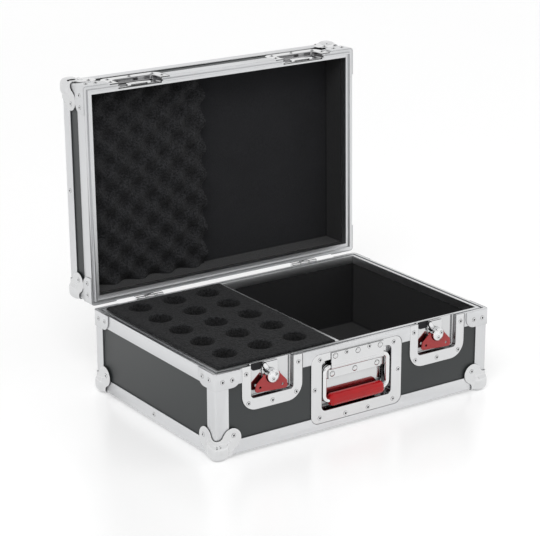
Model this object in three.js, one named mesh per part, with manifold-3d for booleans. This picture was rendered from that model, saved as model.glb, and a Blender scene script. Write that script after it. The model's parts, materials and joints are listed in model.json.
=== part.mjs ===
// A microphone flight case, standing open. Millimetres, +Z up, the front with the latches faces -Y.
// Every piece is modelled with the case shut and z = 0 under the bottom edge angles.
// The lid then turns back on its hinge.

import * as THREE from 'three';
import { mergeVertices } from 'three/addons/utils/BufferGeometryUtils.js';
import Module from 'manifold-3d';

const wasm = await Module();
wasm.setup();

// Overall size
const caseWidth = 540;
const caseDepth = 370;
const baseHeight = 140;
const lidHeight = 74;
const lidOpenAngle = 91;

// Clearances
const seatGap = 0.3;
const partingGap = 0.5;
const overrun = 5;
const weldDistance = 0.0001;

// Panels and edge angles
const panelThickness = 9.5;
const angleLeg = 24;
const angleWall = 2;
const angleRound = 4;

// Closure extrusion round each rim
const rimWidth = 14;
const rimLeg = 24;
const rimInnerLeg = 14;
const rimWeb = 2;
const grooveInset = 4.5;
const grooveWidth = 4;
const grooveDepth = 5;
const tongueClearance = 0.6;
const tongueHeight = 4;

// Stamped ball corners and rim braces
const stampedWall = 1.5;
const ballRadius = 18;
const ballProud = 5.5;
const footWear = 0.5;
const lobeRadius = 17.5;
const lobeReach = 46;
const lobeWrap = 30;
const braceLeg = 46;
const braceHeight = 27.5;
const braceRound = 16;

// Hinges
const hingeInset = 109;
const hingeWidth = 54;
const hingeLeafLength = 34;
const hingeAxisOut = 5.2;
const hingeAxisDrop = 1;
const hingeKnuckleRadius = 3.6;
const hingePinRadius = 2;
const hingeKnuckleCount = 3;

// Butterfly latches
const latchBraceGap = 1.45;
const latchPlateWidth = 113.5;
const latchPlateDrop = 74;
const latchPlateRound = 27;
const latchFlange = 17.25;
const latchRecessDrop = 54;
const latchRecessRound = 6;
const latchRecessDepth = 9;
const latchBossDrop = 24;
const bossRadius = 9.2;
const bossFront = 1.2;
const bossShaftRadius = 5;
const drawbarWidth = 30;
const drawbarThickness = 1.2;
const drawbarRise = 23;
const drawbarDrop = 20;
const drawbarTravel = 10;
const drawbarRound = 5;
const wingRadius = 28.8;
const wingDrop = 23;
const wingHornRise = 2.4;
const wingHornHalfWidth = 15.5;
const wingShoulderDrop = 8;
const wingThickness = 2.2;
const wingFront = 2;
const wingBossClearance = 1.8;
const wingHoleRadius = 2.4;
const wingHoleSpacing = 34;
const wingHoleDrop = 14;
const wingPinRadius = 1.5;
const wingPinDepth = 4.4;
const wingEarRadius = 2.6;

// Keeper dishes in the lid, as wide as the latch dishes below them
const keeperPlateHeight = 44;
const keeperPlateRound = 14;
const keeperRecessHeight = 27;
const strapWidth = 44;
const strapHeight = 6;
const strapRise = 3;
const strapThickness = 2.2;

// Recessed handle
const handlePlateShare = 0.8391608;
const handlePlateLap = 11;
const handlePlateDrop = 9.5;
const handlePlateRound = 14;
const handleSideFlange = 21;
const handleLowerFlange = 20;
const handleUpperFlange = 13.5;
const handleRecessRound = 8;
const handleRecessDepth = 14.5;
const handleLedgeDepth = 8.5;
const bailSideGap = 6;
const bailAxisDrop = 12;
const bailAxisDepth = 4;
const bailRadius = 4.25;
const bailBend = 10;
const gripRise = 15;
const gripEndGap = 9.5;
const gripHeight = 21;
const gripThickness = 18;
const gripRound = 5.5;
const clampSideInset = 17;
const clampTopInset = 1.5;
const clampFootShare = 0.386;
const clampFootMargin = 1;

// Interior
const foamFrontInset = 17;
const foamTopRise = 2.5;
const dividerCentre = -27;
const dividerWidth = 8;
const dividerCapWall = 1;
const dividerCapLeg = 14;
const dividerTopDrop = 1.5;
const liningThickness = 1.6;
const holeColumns = 3;
const holeRows = 5;
const holeRadius = 20;
const holeSideMargin = 25.8;
const holeFrontMargin = 29.6;
const holeBackMargin = 14.3;
const holeDepth = 100;
const eggFoamEnd = -17;
const eggFoamThickness = 26;
const eggPitchAcross = 53.6;
const eggPitchDeep = 47;
const eggLead = 37;
const eggValley = 9;

// Facets round a curve
const cornerSides = 2;
const arcSides = 4;
const rodSides = 10;
const ballSides = 12;
const discSides = 18;
const eggSides = 6;

// Places worked out from the sizes above
const halfWidth = caseWidth / 2;
const halfDepth = caseDepth / 2;
const front = -halfDepth;
const panelFace = angleWall + seatGap;
const panelInner = panelFace + panelThickness;
const plateFront = panelFace - seatGap - stampedWall;
const plateBack = plateFront + stampedWall;
const stampedFace = seatGap + stampedWall;
const rimInnerWall = rimWidth - panelInner - seatGap;
const lidParting = baseHeight + partingGap;
const lidTop = lidParting + lidHeight;
const hingeY = halfDepth + hingeAxisOut;
const hingeZ = baseHeight - hingeAxisDrop;
const footLevel = footWear - ballProud;
const latchCentre = halfWidth - braceLeg - stampedFace - latchBraceGap - latchPlateWidth / 2;
const latchPlateBottom = baseHeight - latchPlateDrop;
const latchRecessWidth = latchPlateWidth - latchFlange * 2;
const latchRecessBottom = baseHeight - latchRecessDrop;
const latchBossHeight = baseHeight - latchBossDrop;
const handleRoom = latchCentre * 2 - latchPlateWidth;
const handlePlateWidth = handleRoom * handlePlateShare;
const handlePlateBottom = angleLeg - handlePlateLap;
const handlePlateTop = baseHeight - handlePlateDrop;
const handleRecessWidth = handlePlateWidth - handleSideFlange * 2;
const handleRecessBottom = handlePlateBottom + handleLowerFlange;
const handleRecessTop = handlePlateTop - handleUpperFlange;
const bailWidth = handleRecessWidth - bailSideGap * 2;
const bailAxisHeight = handleRecessTop - bailAxisDrop;
const gripCentre = handleRecessBottom + gripRise;
const bailDrop = bailAxisHeight - gripCentre;
const gripLength = bailWidth - gripEndGap * 2;
const clampWidth = handleRecessWidth - clampSideInset * 2;
const clampTop = handlePlateTop - clampTopInset;
const clampFoot = bailAxisHeight - bailDrop * clampFootShare;
const handleLedgeBottom = clampFoot - clampFootMargin;
const sides = [
  ['left', -1],
  ['right', 1],
];

// Materials
function metal(color, roughness) {
  return new THREE.MeshStandardMaterial({ color, roughness, metalness: 1, flatShading: true });
}

function plain(color, roughness) {
  return new THREE.MeshStandardMaterial({ color, roughness, metalness: 0, flatShading: true });
}

const aluminium = () => metal(0xd7d9db, 0.35);
const nickel = () => metal(0xdcdcda, 0.2);
const chrome = () => metal(0xe6e6e6, 0.08);
const laminate = () => plain(0x3c4042, 0.55);
const foam = () => plain(0x2c2d2e, 0.95);
const carpet = () => plain(0x1c1d1f, 0.95);
const redRubber = () => plain(0xb01418, 0.4);
const redCoating = () => plain(0xa83038, 0.35);

// Solids and meshes
function solid(geometry) {
  const bare = new THREE.BufferGeometry();
  bare.setAttribute('position', geometry.getAttribute('position').clone());
  if (geometry.index) bare.setIndex(geometry.index.clone());
  const merged = mergeVertices(bare, weldDistance);
  const vertProperties = new Float32Array(merged.getAttribute('position').array);
  const index = merged.index.array;
  const corners = [];
  for (let first = 0; first < index.length; first += 3) {
    const [a, b, c] = index.slice(first, first + 3);
    if (a !== b && b !== c && c !== a) corners.push(a, b, c);
  }
  const triVerts = new Uint32Array(corners);
  return new wasm.Manifold(new wasm.Mesh({ numProp: 3, vertProperties, triVerts }));
}

function shapeOf(body) {
  const mesh = body.getMesh();
  const geometry = new THREE.BufferGeometry();
  geometry.setAttribute('position', new THREE.BufferAttribute(new Float32Array(mesh.vertProperties), 3));
  geometry.setIndex(new THREE.BufferAttribute(new Uint32Array(mesh.triVerts), 1));
  return geometry;
}

function mirrored(geometry, x, y, z) {
  const copy = geometry.index ? geometry.toNonIndexed() : geometry.clone();
  copy.scale(x, y, z);
  if (x * y * z > 0) return copy;
  const position = copy.getAttribute('position');
  const second = new THREE.Vector3();
  const third = new THREE.Vector3();
  for (let corner = 0; corner < position.count; corner += 3) {
    second.fromBufferAttribute(position, corner + 1);
    third.fromBufferAttribute(position, corner + 2);
    position.setXYZ(corner + 1, third.x, third.y, third.z);
    position.setXYZ(corner + 2, second.x, second.y, second.z);
  }
  return copy;
}

function block(x0, x1, y0, y1, z0, z1) {
  const geometry = new THREE.BoxGeometry(Math.abs(x1 - x0), Math.abs(y1 - y0), Math.abs(z1 - z0));
  geometry.translate((x0 + x1) / 2, (y0 + y1) / 2, (z0 + z1) / 2);
  return solid(geometry);
}

function prism(shape, length, curveSegments = arcSides) {
  return new THREE.ExtrudeGeometry(shape, { depth: length, bevelEnabled: false, curveSegments });
}

// A plate on the front of the case, drawn in x and z, between two depths behind the outer face
function frontPlate(shape, outer, inner, curveSegments = arcSides) {
  const geometry = prism(shape, inner - outer, curveSegments);
  geometry.rotateX(Math.PI / 2);
  geometry.translate(0, front + inner, 0);
  return solid(geometry);
}

function frontBlock(x0, x1, outer, inner, z0, z1) {
  return block(x0, x1, front + outer, front + inner, z0, z1);
}

// A round bar along X
function barX(radius, x0, x1, y, z, segments) {
  const geometry = new THREE.CylinderGeometry(radius, radius, x1 - x0, segments);
  geometry.rotateZ(Math.PI / 2);
  geometry.translate((x0 + x1) / 2, y, z);
  return solid(geometry);
}

// A round bar along Y, between two depths behind the front face
function barY(radius, x, z, outer, inner, segments) {
  const geometry = new THREE.CylinderGeometry(radius, radius, inner - outer, segments);
  geometry.translate(x, front + (outer + inner) / 2, z);
  return solid(geometry);
}

// A rectangle whose two lower and two upper corners can have their own radius
function roundedRectangle(x0, x1, y0, y1, lowerRadius, upperRadius) {
  const shape = new THREE.Shape();
  shape.moveTo(x0 + lowerRadius, y0);
  shape.lineTo(x1 - lowerRadius, y0);
  if (lowerRadius) shape.absarc(x1 - lowerRadius, y0 + lowerRadius, lowerRadius, -Math.PI / 2, 0);
  shape.lineTo(x1, y1 - upperRadius);
  if (upperRadius) shape.absarc(x1 - upperRadius, y1 - upperRadius, upperRadius, 0, Math.PI / 2);
  shape.lineTo(x0 + upperRadius, y1);
  if (upperRadius) shape.absarc(x0 + upperRadius, y1 - upperRadius, upperRadius, Math.PI / 2, Math.PI);
  shape.lineTo(x0, y0 + lowerRadius);
  if (lowerRadius) shape.absarc(x0 + lowerRadius, y0 + lowerRadius, lowerRadius, Math.PI, Math.PI * 1.5);
  return shape;
}

// An L section with its outer corner at the origin and its legs along +X and +Y
function angleSection(leg, wall, round, innerRound = 0) {
  const shape = new THREE.Shape();
  shape.moveTo(round, 0);
  shape.lineTo(leg, 0);
  shape.lineTo(leg, wall);
  shape.lineTo(wall + innerRound, wall);
  const innerCentre = wall + innerRound;
  if (innerRound) shape.absarc(innerCentre, innerCentre, innerRound, Math.PI * 1.5, Math.PI, true);
  shape.lineTo(wall, leg);
  shape.lineTo(0, leg);
  shape.lineTo(0, round);
  shape.absarc(round, round, round, Math.PI, Math.PI * 1.5);
  return shape;
}

// The section of a stamped plate that wraps an edge angle with the seat gap behind it
function wrapSection(leg) {
  return angleSection(leg, stampedWall, angleRound + stampedFace, angleRound + seatGap);
}

// A rectangular ring in plan between two insets from the outer faces of the case
function ring(outerInset, innerInset, z0, z1) {
  const outerRound = Math.max(angleRound - outerInset, 0);
  const x = halfWidth - outerInset;
  const y = halfDepth - outerInset;
  const innerX = halfWidth - innerInset;
  const innerY = halfDepth - innerInset;
  const outline = roundedRectangle(-x, x, -y, y, outerRound, outerRound);
  const geometry = prism(outline, Math.abs(z1 - z0), cornerSides);
  geometry.translate(0, 0, Math.min(z0, z1));
  return solid(geometry).subtract(
    block(-innerX, innerX, -innerY, innerY, Math.min(z0, z1) - overrun, Math.max(z0, z1) + overrun));
}

function cutBy(body, tools) {
  return tools.reduce((left, tool) => left.subtract(tool), body);
}

function addPart(group, name, material, body) {
  const geometry = body.isBufferGeometry ? body : shapeOf(body);
  const mesh = new THREE.Mesh(geometry, material);
  mesh.name = name;
  group.add(mesh);
}

// One stamped ball corner, its box corner at the origin and the case along +X, +Y and +Z
const lobeCentre = lobeReach - lobeRadius;

function lobeOutline() {
  const away = Math.atan2(lobeWrap - lobeCentre, angleRound - lobeCentre);
  const distance = Math.hypot(lobeWrap - lobeCentre, angleRound - lobeCentre);
  const tangent = away - Math.acos(lobeRadius / distance);
  const shape = new THREE.Shape();
  shape.moveTo(angleRound, angleRound);
  shape.lineTo(lobeWrap, angleRound);
  shape.absarc(lobeCentre, lobeCentre, lobeRadius, Math.PI / 2 - tangent, tangent);
  shape.lineTo(angleRound, lobeWrap);
  return shape;
}

const cyclicTurns = [
  new THREE.Matrix4(),
  new THREE.Matrix4().makeBasis(
    new THREE.Vector3(0, 1, 0), new THREE.Vector3(0, 0, 1), new THREE.Vector3(1, 0, 0)),
  new THREE.Matrix4().makeBasis(
    new THREE.Vector3(0, 0, 1), new THREE.Vector3(1, 0, 0), new THREE.Vector3(0, 1, 0)),
];

// The space inside a corner that the angles and panels take up
function cornerSpace() {
  const far = lobeReach + overrun;
  const anglesEnd = angleLeg;
  const angles = block(-seatGap, far, -seatGap, far, -seatGap, far)
    .subtract(block(-overrun, anglesEnd, -overrun, anglesEnd, -overrun, anglesEnd));
  const panels = block(angleWall, far, angleWall, far, angleWall, far);
  return angles.add(panels);
}

function ballCorner(standsOnFloor) {
  const centre = ballRadius - ballProud;
  const sphere = new THREE.SphereGeometry(ballRadius, ballSides, ballSides / 2);
  sphere.rotateX(Math.PI / 2);
  sphere.translate(centre, centre, centre);
  let corner = solid(sphere).subtract(cornerSpace());
  const lobe = prism(lobeOutline(), stampedWall, arcSides);
  lobe.translate(0, 0, -stampedFace);
  const edge = prism(wrapSection(angleRound * 2 + stampedFace), lobeWrap - centre, cornerSides);
  edge.translate(-stampedFace, -stampedFace, centre);
  for (const turn of cyclicTurns) {
    corner = corner.add(solid(lobe.clone().applyMatrix4(turn)));
    corner = corner.add(solid(edge.clone().applyMatrix4(turn)));
  }
  if (standsOnFloor) {
    corner = corner.subtract(block(-lobeReach, lobeReach, -lobeReach, lobeReach, -lobeReach, footLevel));
  }
  return shapeOf(corner);
}

// A corner angle with the brace that holds the two halves of the rim together riveted on its end
function cornerAngle(height) {
  const end = height - rimLeg - seatGap;
  const start = angleLeg + seatGap;
  const angle = prism(angleSection(angleLeg, angleWall, angleRound), end - start, cornerSides);
  angle.translate(0, 0, start);
  const braceStart = height - braceHeight;
  const legReach = braceLeg + stampedFace;
  const brace = prism(wrapSection(legReach), braceHeight, cornerSides);
  brace.translate(-stampedFace, -stampedFace, braceStart);
  const outline = roundedRectangle(-braceLeg, braceLeg, braceStart, height + overrun, braceRound, 0);
  const alongX = prism(outline, braceLeg * 2);
  alongX.rotateX(Math.PI / 2);
  alongX.translate(0, braceLeg, 0);
  const alongY = alongX.clone();
  alongY.rotateZ(Math.PI / 2);
  const shaped = solid(brace).intersect(solid(alongX)).intersect(solid(alongY));
  const bondFace = seatGap + stampedWall / 2;
  const bondSection = angleSection(angleLeg, bondFace + angleWall / 2, angleRound + bondFace);
  const bond = prism(bondSection, end - braceStart, cornerSides);
  bond.translate(-bondFace, -bondFace, braceStart);
  return shapeOf(solid(angle).add(shaped).add(solid(bond)));
}

// The shell of one half: panels, edge angles, ball corners and closure extrusion
function buildShell(group, name, end, plate, parting, rimSeat, cuts) {
  const up = Math.sign(parting - plate);
  const height = Math.abs(parting - plate);
  const at = (rise) => plate + up * rise;
  const wallStart = at(panelInner + seatGap);
  const wallEnd = at(height - rimSeat - seatGap);
  const x = halfWidth - panelFace;
  const y = halfDepth - panelFace;
  const innerX = halfWidth - panelInner;
  const innerY = halfDepth - panelInner;
  addPart(group, `${name}_${end}_panel`, laminate(), block(-x, x, -y, y, at(panelFace), at(panelInner)));
  const frontPanel = cutBy(block(-x, x, -y, -innerY, wallStart, wallEnd), cuts.panel);
  addPart(group, `${name}_front_panel`, laminate(), frontPanel);
  addPart(group, `${name}_back_panel`, laminate(), block(-x, x, innerY, y, wallStart, wallEnd));
  for (const [side, sign] of sides) {
    const panel = block(sign * innerX, sign * x, -innerY + seatGap, innerY - seatGap, wallStart, wallEnd);
    addPart(group, `${name}_${side}_panel`, laminate(), panel);
  }

  let rim = ring(0, angleWall, parting, parting - up * rimLeg)
    .add(ring(0, rimWidth, parting, parting - up * rimSeat))
    .add(ring(rimWidth - rimInnerWall, rimWidth, parting, parting - up * rimInnerLeg));
  rim = cuts.closure(rim);
  addPart(group, `${name}_rim_frame`, aluminium(), cutBy(rim, cuts.rim));

  const corner = cornerAngle(height);
  const ball = ballCorner(up > 0);
  const bare = angleLeg + seatGap;
  const section = angleSection(angleLeg, angleWall, angleRound);
  const alongX = prism(section, caseWidth - bare * 2, cornerSides).applyMatrix4(cyclicTurns[1]);
  alongX.translate(-halfWidth + bare, 0, 0);
  const alongY = prism(section, caseDepth - bare * 2, cornerSides).applyMatrix4(cyclicTurns[2]);
  alongY.translate(0, -halfDepth + bare, 0);
  for (const [depthSide, depthSign] of [['front', -1], ['back', 1]]) {
    const edge = mirrored(alongX, 1, -depthSign, up);
    edge.translate(0, depthSign * halfDepth, plate);
    const angle = cutBy(solid(edge), depthSign < 0 ? cuts.angle : []);
    addPart(group, `${name}_${end}_angle_${depthSide}`, aluminium(), angle);
    for (const [side, sign] of sides) {
      for (const [part, material, geometry] of [
        ['corner_angle', aluminium(), corner],
        ['ball_corner', nickel(), ball],
      ]) {
        const placed = mirrored(geometry, -sign, -depthSign, up);
        placed.translate(sign * halfWidth, depthSign * halfDepth, plate);
        addPart(group, `${name}_${part}_${depthSide}_${side}`, material, placed);
      }
    }
  }
  for (const [side, sign] of sides) {
    const edge = mirrored(alongY, -sign, 1, up);
    edge.translate(sign * halfWidth, 0, plate);
    addPart(group, `${name}_${end}_angle_${side}`, aluminium(), edge);
  }
}

// Latches
const latchFloorBack = latchRecessDepth + stampedWall;
const drawbarBack = latchRecessDepth - seatGap;
const drawbarFront = drawbarBack - drawbarThickness;

function latchTrayOutline(x, grow) {
  const half = latchRecessWidth / 2 + grow;
  return roundedRectangle(x - half, x + half, latchRecessBottom - grow, baseHeight + overrun,
    latchRecessRound + grow, 0);
}

function latchDish(x) {
  const plateOutline = roundedRectangle(x - latchPlateWidth / 2, x + latchPlateWidth / 2,
    latchPlateBottom, baseHeight, latchPlateRound, 0);
  const abovePlate = frontBlock(x - latchPlateWidth, x + latchPlateWidth, -overrun, latchFloorBack + overrun,
    baseHeight, baseHeight + overrun * 2);
  return frontPlate(plateOutline, plateFront, plateBack)
    .add(frontPlate(latchTrayOutline(x, stampedWall), plateFront, latchFloorBack))
    .subtract(frontPlate(latchTrayOutline(x, 0), -overrun, latchRecessDepth))
    .subtract(barY(bossShaftRadius + seatGap, x, latchBossHeight, 0, latchFloorBack + overrun, rodSides))
    .subtract(abovePlate);
}

function latchRotor(x) {
  const head = barY(bossRadius, x, latchBossHeight, bossFront, drawbarFront - seatGap, discSides);
  const shaft = barY(bossShaftRadius, x, latchBossHeight, drawbarFront - seatGap, latchFloorBack, rodSides);
  const pin = barX(wingPinRadius, x - wingHornHalfWidth, x + wingHornHalfWidth, front + wingPinDepth,
    latchBossHeight, rodSides);
  return head.add(shaft).add(pin);
}

function wingOutline() {
  const inner = bossRadius + wingBossClearance;
  const hornInner = Math.sqrt(inner * inner - wingHornRise * wingHornRise);
  const shoulder = -Math.asin(wingShoulderDrop / wingRadius);
  const heel = -Math.asin(wingDrop / wingRadius);
  const hornAngle = Math.asin(wingHornRise / inner);
  const shape = new THREE.Shape();
  shape.moveTo(-hornInner, wingHornRise);
  shape.absarc(0, 0, inner, Math.PI - hornAngle, hornAngle);
  shape.lineTo(wingHornHalfWidth, wingHornRise);
  shape.absarc(0, 0, wingRadius, shoulder, heel, true);
  shape.absarc(0, 0, wingRadius, Math.PI - heel, Math.PI - shoulder, true);
  shape.lineTo(-wingHornHalfWidth, wingHornRise);
  return shape;
}

function latchWing(x) {
  const geometry = prism(wingOutline(), wingThickness, arcSides);
  geometry.rotateX(Math.PI / 2);
  geometry.translate(x, front + wingFront + wingThickness, latchBossHeight);
  let wing = solid(geometry);
  const pinY = front + wingPinDepth;
  for (const [, sign] of sides) {
    const earInner = x + sign * (bossRadius + wingBossClearance);
    const earOuter = x + sign * (wingHornHalfWidth - seatGap);
    wing = wing.add(barX(wingEarRadius, Math.min(earInner, earOuter), Math.max(earInner, earOuter), pinY,
      latchBossHeight, rodSides));
    wing = wing.subtract(barY(wingHoleRadius, x + sign * wingHoleSpacing / 2, latchBossHeight - wingHoleDrop,
      wingFront - overrun, wingFront + wingThickness + overrun, rodSides));
  }
  const bore = barX(wingPinRadius + seatGap, x - wingRadius, x + wingRadius, pinY, latchBossHeight, rodSides);
  return wing.subtract(bore);
}

function latchDrawbar(x) {
  const half = drawbarWidth / 2;
  const outline = roundedRectangle(x - half, x + half, latchBossHeight - drawbarDrop,
    latchBossHeight + drawbarRise, drawbarRound, drawbarRound);
  const slotHalf = bossShaftRadius + seatGap;
  const slot = roundedRectangle(x - slotHalf, x + slotHalf, latchBossHeight - slotHalf - drawbarTravel,
    latchBossHeight + slotHalf, slotHalf, slotHalf);
  return frontPlate(outline, drawbarFront, drawbarBack)
    .subtract(frontPlate(slot, drawbarFront - overrun, drawbarBack + overrun));
}

// A keeper dish with the strap that the drawbar slides up behind
function keeperDish(x) {
  const half = latchPlateWidth / 2;
  const plate = roundedRectangle(x - half, x + half, lidParting, lidParting + keeperPlateHeight,
    0, keeperPlateRound);
  const recessTop = lidParting + keeperRecessHeight;
  const recessHalf = latchRecessWidth / 2;
  const tray = roundedRectangle(x - recessHalf - stampedWall, x + recessHalf + stampedWall, lidParting,
    recessTop + stampedWall, 0, latchRecessRound);
  const hollow = roundedRectangle(x - recessHalf, x + recessHalf, lidParting - overrun, recessTop, 0,
    latchRecessRound);
  const strapFoot = (strapWidth - drawbarWidth) / 2 - seatGap * 2;
  const strapFront = drawbarFront - seatGap - strapThickness;
  const strapBottom = lidParting + strapRise;
  const strapTop = strapBottom + strapHeight;
  let dish = frontPlate(plate, plateFront, plateBack)
    .add(frontPlate(tray, plateFront, latchFloorBack))
    .subtract(frontPlate(hollow, -overrun, latchRecessDepth))
    .add(frontBlock(x - strapWidth / 2, x + strapWidth / 2, strapFront, strapFront + strapThickness,
      strapBottom, strapTop));
  for (const [, sign] of sides) {
    const outerX = x + sign * strapWidth / 2;
    const innerX = outerX - sign * strapFoot;
    dish = dish.add(frontBlock(innerX, outerX, strapFront, latchFloorBack, strapBottom, strapTop));
  }
  return dish;
}

// Handle
const handleFloorBack = handleRecessDepth + stampedWall;

function handlePlateOutline(grow) {
  const half = handlePlateWidth / 2 + grow;
  return roundedRectangle(-half, half, handlePlateBottom - grow, handlePlateTop + grow,
    handlePlateRound + grow, handlePlateRound + grow);
}

function handleDish() {
  const half = handleRecessWidth / 2;
  const tray = roundedRectangle(-half - stampedWall, half + stampedWall, handleRecessBottom - stampedWall,
    handleRecessTop + stampedWall, handleRecessRound + stampedWall, handleRecessRound + stampedWall);
  const hollow = roundedRectangle(-half, half, handleRecessBottom, handleRecessTop, handleRecessRound,
    handleRecessRound);
  const ledge = frontBlock(-half - stampedWall / 2, half + stampedWall / 2, handleLedgeDepth, handleFloorBack,
    handleLedgeBottom, handleRecessTop + stampedWall / 2);
  return frontPlate(handlePlateOutline(0), plateFront, plateBack)
    .add(frontPlate(tray, plateFront, handleFloorBack))
    .subtract(frontPlate(hollow, -overrun, handleRecessDepth))
    .add(ledge.intersect(frontPlate(tray, plateFront, handleFloorBack)));
}

// The clamp: flat on the dish, curved over the bail's top bar and down onto the ledge
function handleClamp() {
  const innerRadius = bailRadius + seatGap;
  const outerRadius = innerRadius + stampedWall;
  const back = plateFront - seatGap;
  const face = back - stampedWall;
  const foot = handleLedgeDepth - seatGap;
  const footFace = foot - stampedWall;
  const outerStart = Math.asin((bailAxisDepth - face) / outerRadius);
  const innerStart = Math.asin((bailAxisDepth - back) / innerRadius);
  const outerEnd = Math.PI + Math.asin((footFace - bailAxisDepth) / outerRadius);
  const innerEnd = Math.PI + Math.asin((foot - bailAxisDepth) / innerRadius);
  const point = (radius, turn) => [
    bailAxisDepth - radius * Math.sin(turn),
    bailAxisHeight + radius * Math.cos(turn),
  ];
  const shape = new THREE.Shape();
  shape.moveTo(face, clampTop);
  for (let step = 0; step <= rodSides; step += 1) {
    shape.lineTo(...point(outerRadius, outerStart + (outerEnd - outerStart) * step / rodSides));
  }
  shape.lineTo(footFace, clampFoot);
  shape.lineTo(foot, clampFoot);
  for (let step = rodSides; step >= 0; step -= 1) {
    shape.lineTo(...point(innerRadius, innerStart + (innerEnd - innerStart) * step / rodSides));
  }
  shape.lineTo(back, clampTop);
  const geometry = prism(shape, clampWidth);
  geometry.applyMatrix4(cyclicTurns[1]);
  geometry.translate(-clampWidth / 2, front, 0);
  return geometry;
}

// The bail: a round bar bent into a closed rectangle
function bail() {
  const halfX = bailWidth / 2 - bailBend;
  const halfZ = bailDrop / 2 - bailBend;
  const stations = [];
  for (const [signX, signZ, start] of [[1, 1, 0], [-1, 1, 1], [-1, -1, 2], [1, -1, 3]]) {
    for (let step = 0; step <= arcSides; step += 1) {
      const turn = (start + step / arcSides) * Math.PI / 2;
      const outward = new THREE.Vector3(Math.cos(turn), 0, Math.sin(turn));
      const centre = new THREE.Vector3(signX * halfX, 0, signZ * halfZ).addScaledVector(outward, bailBend);
      stations.push([centre, outward]);
    }
  }
  const positions = [];
  for (const [centre, outward] of stations) {
    for (let side = 0; side < rodSides; side += 1) {
      const turn = side * 2 * Math.PI / rodSides;
      const point = centre.clone().addScaledVector(outward, bailRadius * Math.cos(turn));
      positions.push(point.x, point.y + bailRadius * Math.sin(turn), point.z);
    }
  }
  const indices = [];
  for (let station = 0; station < stations.length; station += 1) {
    const next = (station + 1) % stations.length;
    for (let side = 0; side < rodSides; side += 1) {
      const beside = (side + 1) % rodSides;
      const near = station * rodSides;
      const far = next * rodSides;
      indices.push(near + side, far + beside, far + side);
      indices.push(near + side, near + beside, far + beside);
    }
  }
  const geometry = new THREE.BufferGeometry();
  geometry.setAttribute('position', new THREE.BufferAttribute(new Float32Array(positions), 3));
  geometry.setIndex(indices);
  geometry.translate(0, front + bailAxisDepth, bailAxisHeight - bailDrop / 2);
  return geometry;
}

function grip() {
  const outline = roundedRectangle(-gripThickness / 2, gripThickness / 2, -gripHeight / 2, gripHeight / 2,
    gripRound, gripRound);
  const geometry = prism(outline, gripLength, cornerSides);
  geometry.applyMatrix4(cyclicTurns[1]);
  geometry.translate(-gripLength / 2, front + bailAxisDepth, gripCentre);
  const boreRadius = bailRadius + seatGap;
  const bore = barX(boreRadius, -gripLength, gripLength, front + bailAxisDepth, gripCentre, rodSides);
  return solid(geometry).subtract(bore);
}

// Hinges: a leaf on the base with the outer knuckles and the pin, and a leaf on the lid with the middle one
function hingeLeaf(x, onLid) {
  const knuckle = hingeWidth / hingeKnuckleCount;
  const up = onLid ? 1 : -1;
  const start = x - hingeWidth / 2;
  const end = x + hingeWidth / 2;
  const leafNear = halfDepth + seatGap;
  const leafFar = leafNear + stampedWall;
  const notch = hingeKnuckleRadius + seatGap * 2;
  let leaf = block(start, end, leafNear, leafFar, hingeZ + up * notch, hingeZ + up * hingeLeafLength);
  for (let index = 0; index < hingeKnuckleCount; index += 1) {
    if ((index % 2 === 1) !== onLid) continue;
    const x0 = start + index * knuckle + seatGap;
    const x1 = start + (index + 1) * knuckle - seatGap;
    leaf = leaf.add(block(x0, x1, leafNear, leafFar, hingeZ, hingeZ + up * notch * 2));
    leaf = leaf.add(barX(hingeKnuckleRadius, x0, x1, hingeY, hingeZ, rodSides));
  }
  if (onLid) {
    return leaf.subtract(barX(hingePinRadius + seatGap, start, end, hingeY, hingeZ, rodSides));
  }
  return leaf.add(barX(hingePinRadius, start + seatGap, end - seatGap, hingeY, hingeZ, rodSides));
}

// Interior
const foamStart = -halfWidth + rimWidth + seatGap;
const dividerLeft = dividerCentre - dividerWidth / 2;
const dividerRight = dividerCentre + dividerWidth / 2;
const floorTop = panelInner + seatGap;
const dividerHalfDepth = halfDepth - rimWidth - seatGap;

function handleBulge() {
  const half = handleRecessWidth / 2 + stampedWall + seatGap;
  return frontBlock(-half, half, panelFace - overrun, handleFloorBack + seatGap,
    handleRecessBottom - stampedWall - seatGap, handleRecessTop + stampedWall + seatGap);
}

function microphoneFoam() {
  const top = baseHeight + foamTopRise;
  const end = dividerLeft - seatGap;
  const nearY = foamFrontInset - halfDepth;
  const firstX = foamStart + holeSideMargin + holeRadius;
  const lastX = end - holeSideMargin - holeRadius;
  const firstY = nearY + holeFrontMargin + holeRadius;
  const lastY = dividerHalfDepth - holeBackMargin - holeRadius;
  let body = block(foamStart, end, nearY, dividerHalfDepth, floorTop, top);
  for (let column = 0; column < holeColumns; column += 1) {
    for (let row = 0; row < holeRows; row += 1) {
      const hole = new THREE.CylinderGeometry(holeRadius, holeRadius, holeDepth + overrun, discSides);
      hole.rotateX(Math.PI / 2);
      hole.translate(
        firstX + (lastX - firstX) * column / (holeColumns - 1),
        firstY + (lastY - firstY) * row / (holeRows - 1),
        top - (holeDepth - overrun) / 2);
      body = body.subtract(solid(hole));
    }
  }
  return body;
}

function divider() {
  const x0 = dividerLeft + dividerCapWall + seatGap;
  const x1 = dividerRight - dividerCapWall - seatGap;
  const top = baseHeight - dividerTopDrop - dividerCapWall - seatGap;
  return block(x0, x1, -dividerHalfDepth, dividerHalfDepth, floorTop, top).subtract(handleBulge());
}

function dividerCap() {
  const top = baseHeight - dividerTopDrop;
  const foot = top - dividerCapLeg;
  const channel = block(dividerLeft, dividerRight, -dividerHalfDepth, dividerHalfDepth, foot, top);
  const slot = block(dividerLeft + dividerCapWall, dividerRight - dividerCapWall,
    -halfDepth, halfDepth, foot - overrun, top - dividerCapWall);
  return channel.subtract(slot);
}

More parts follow.
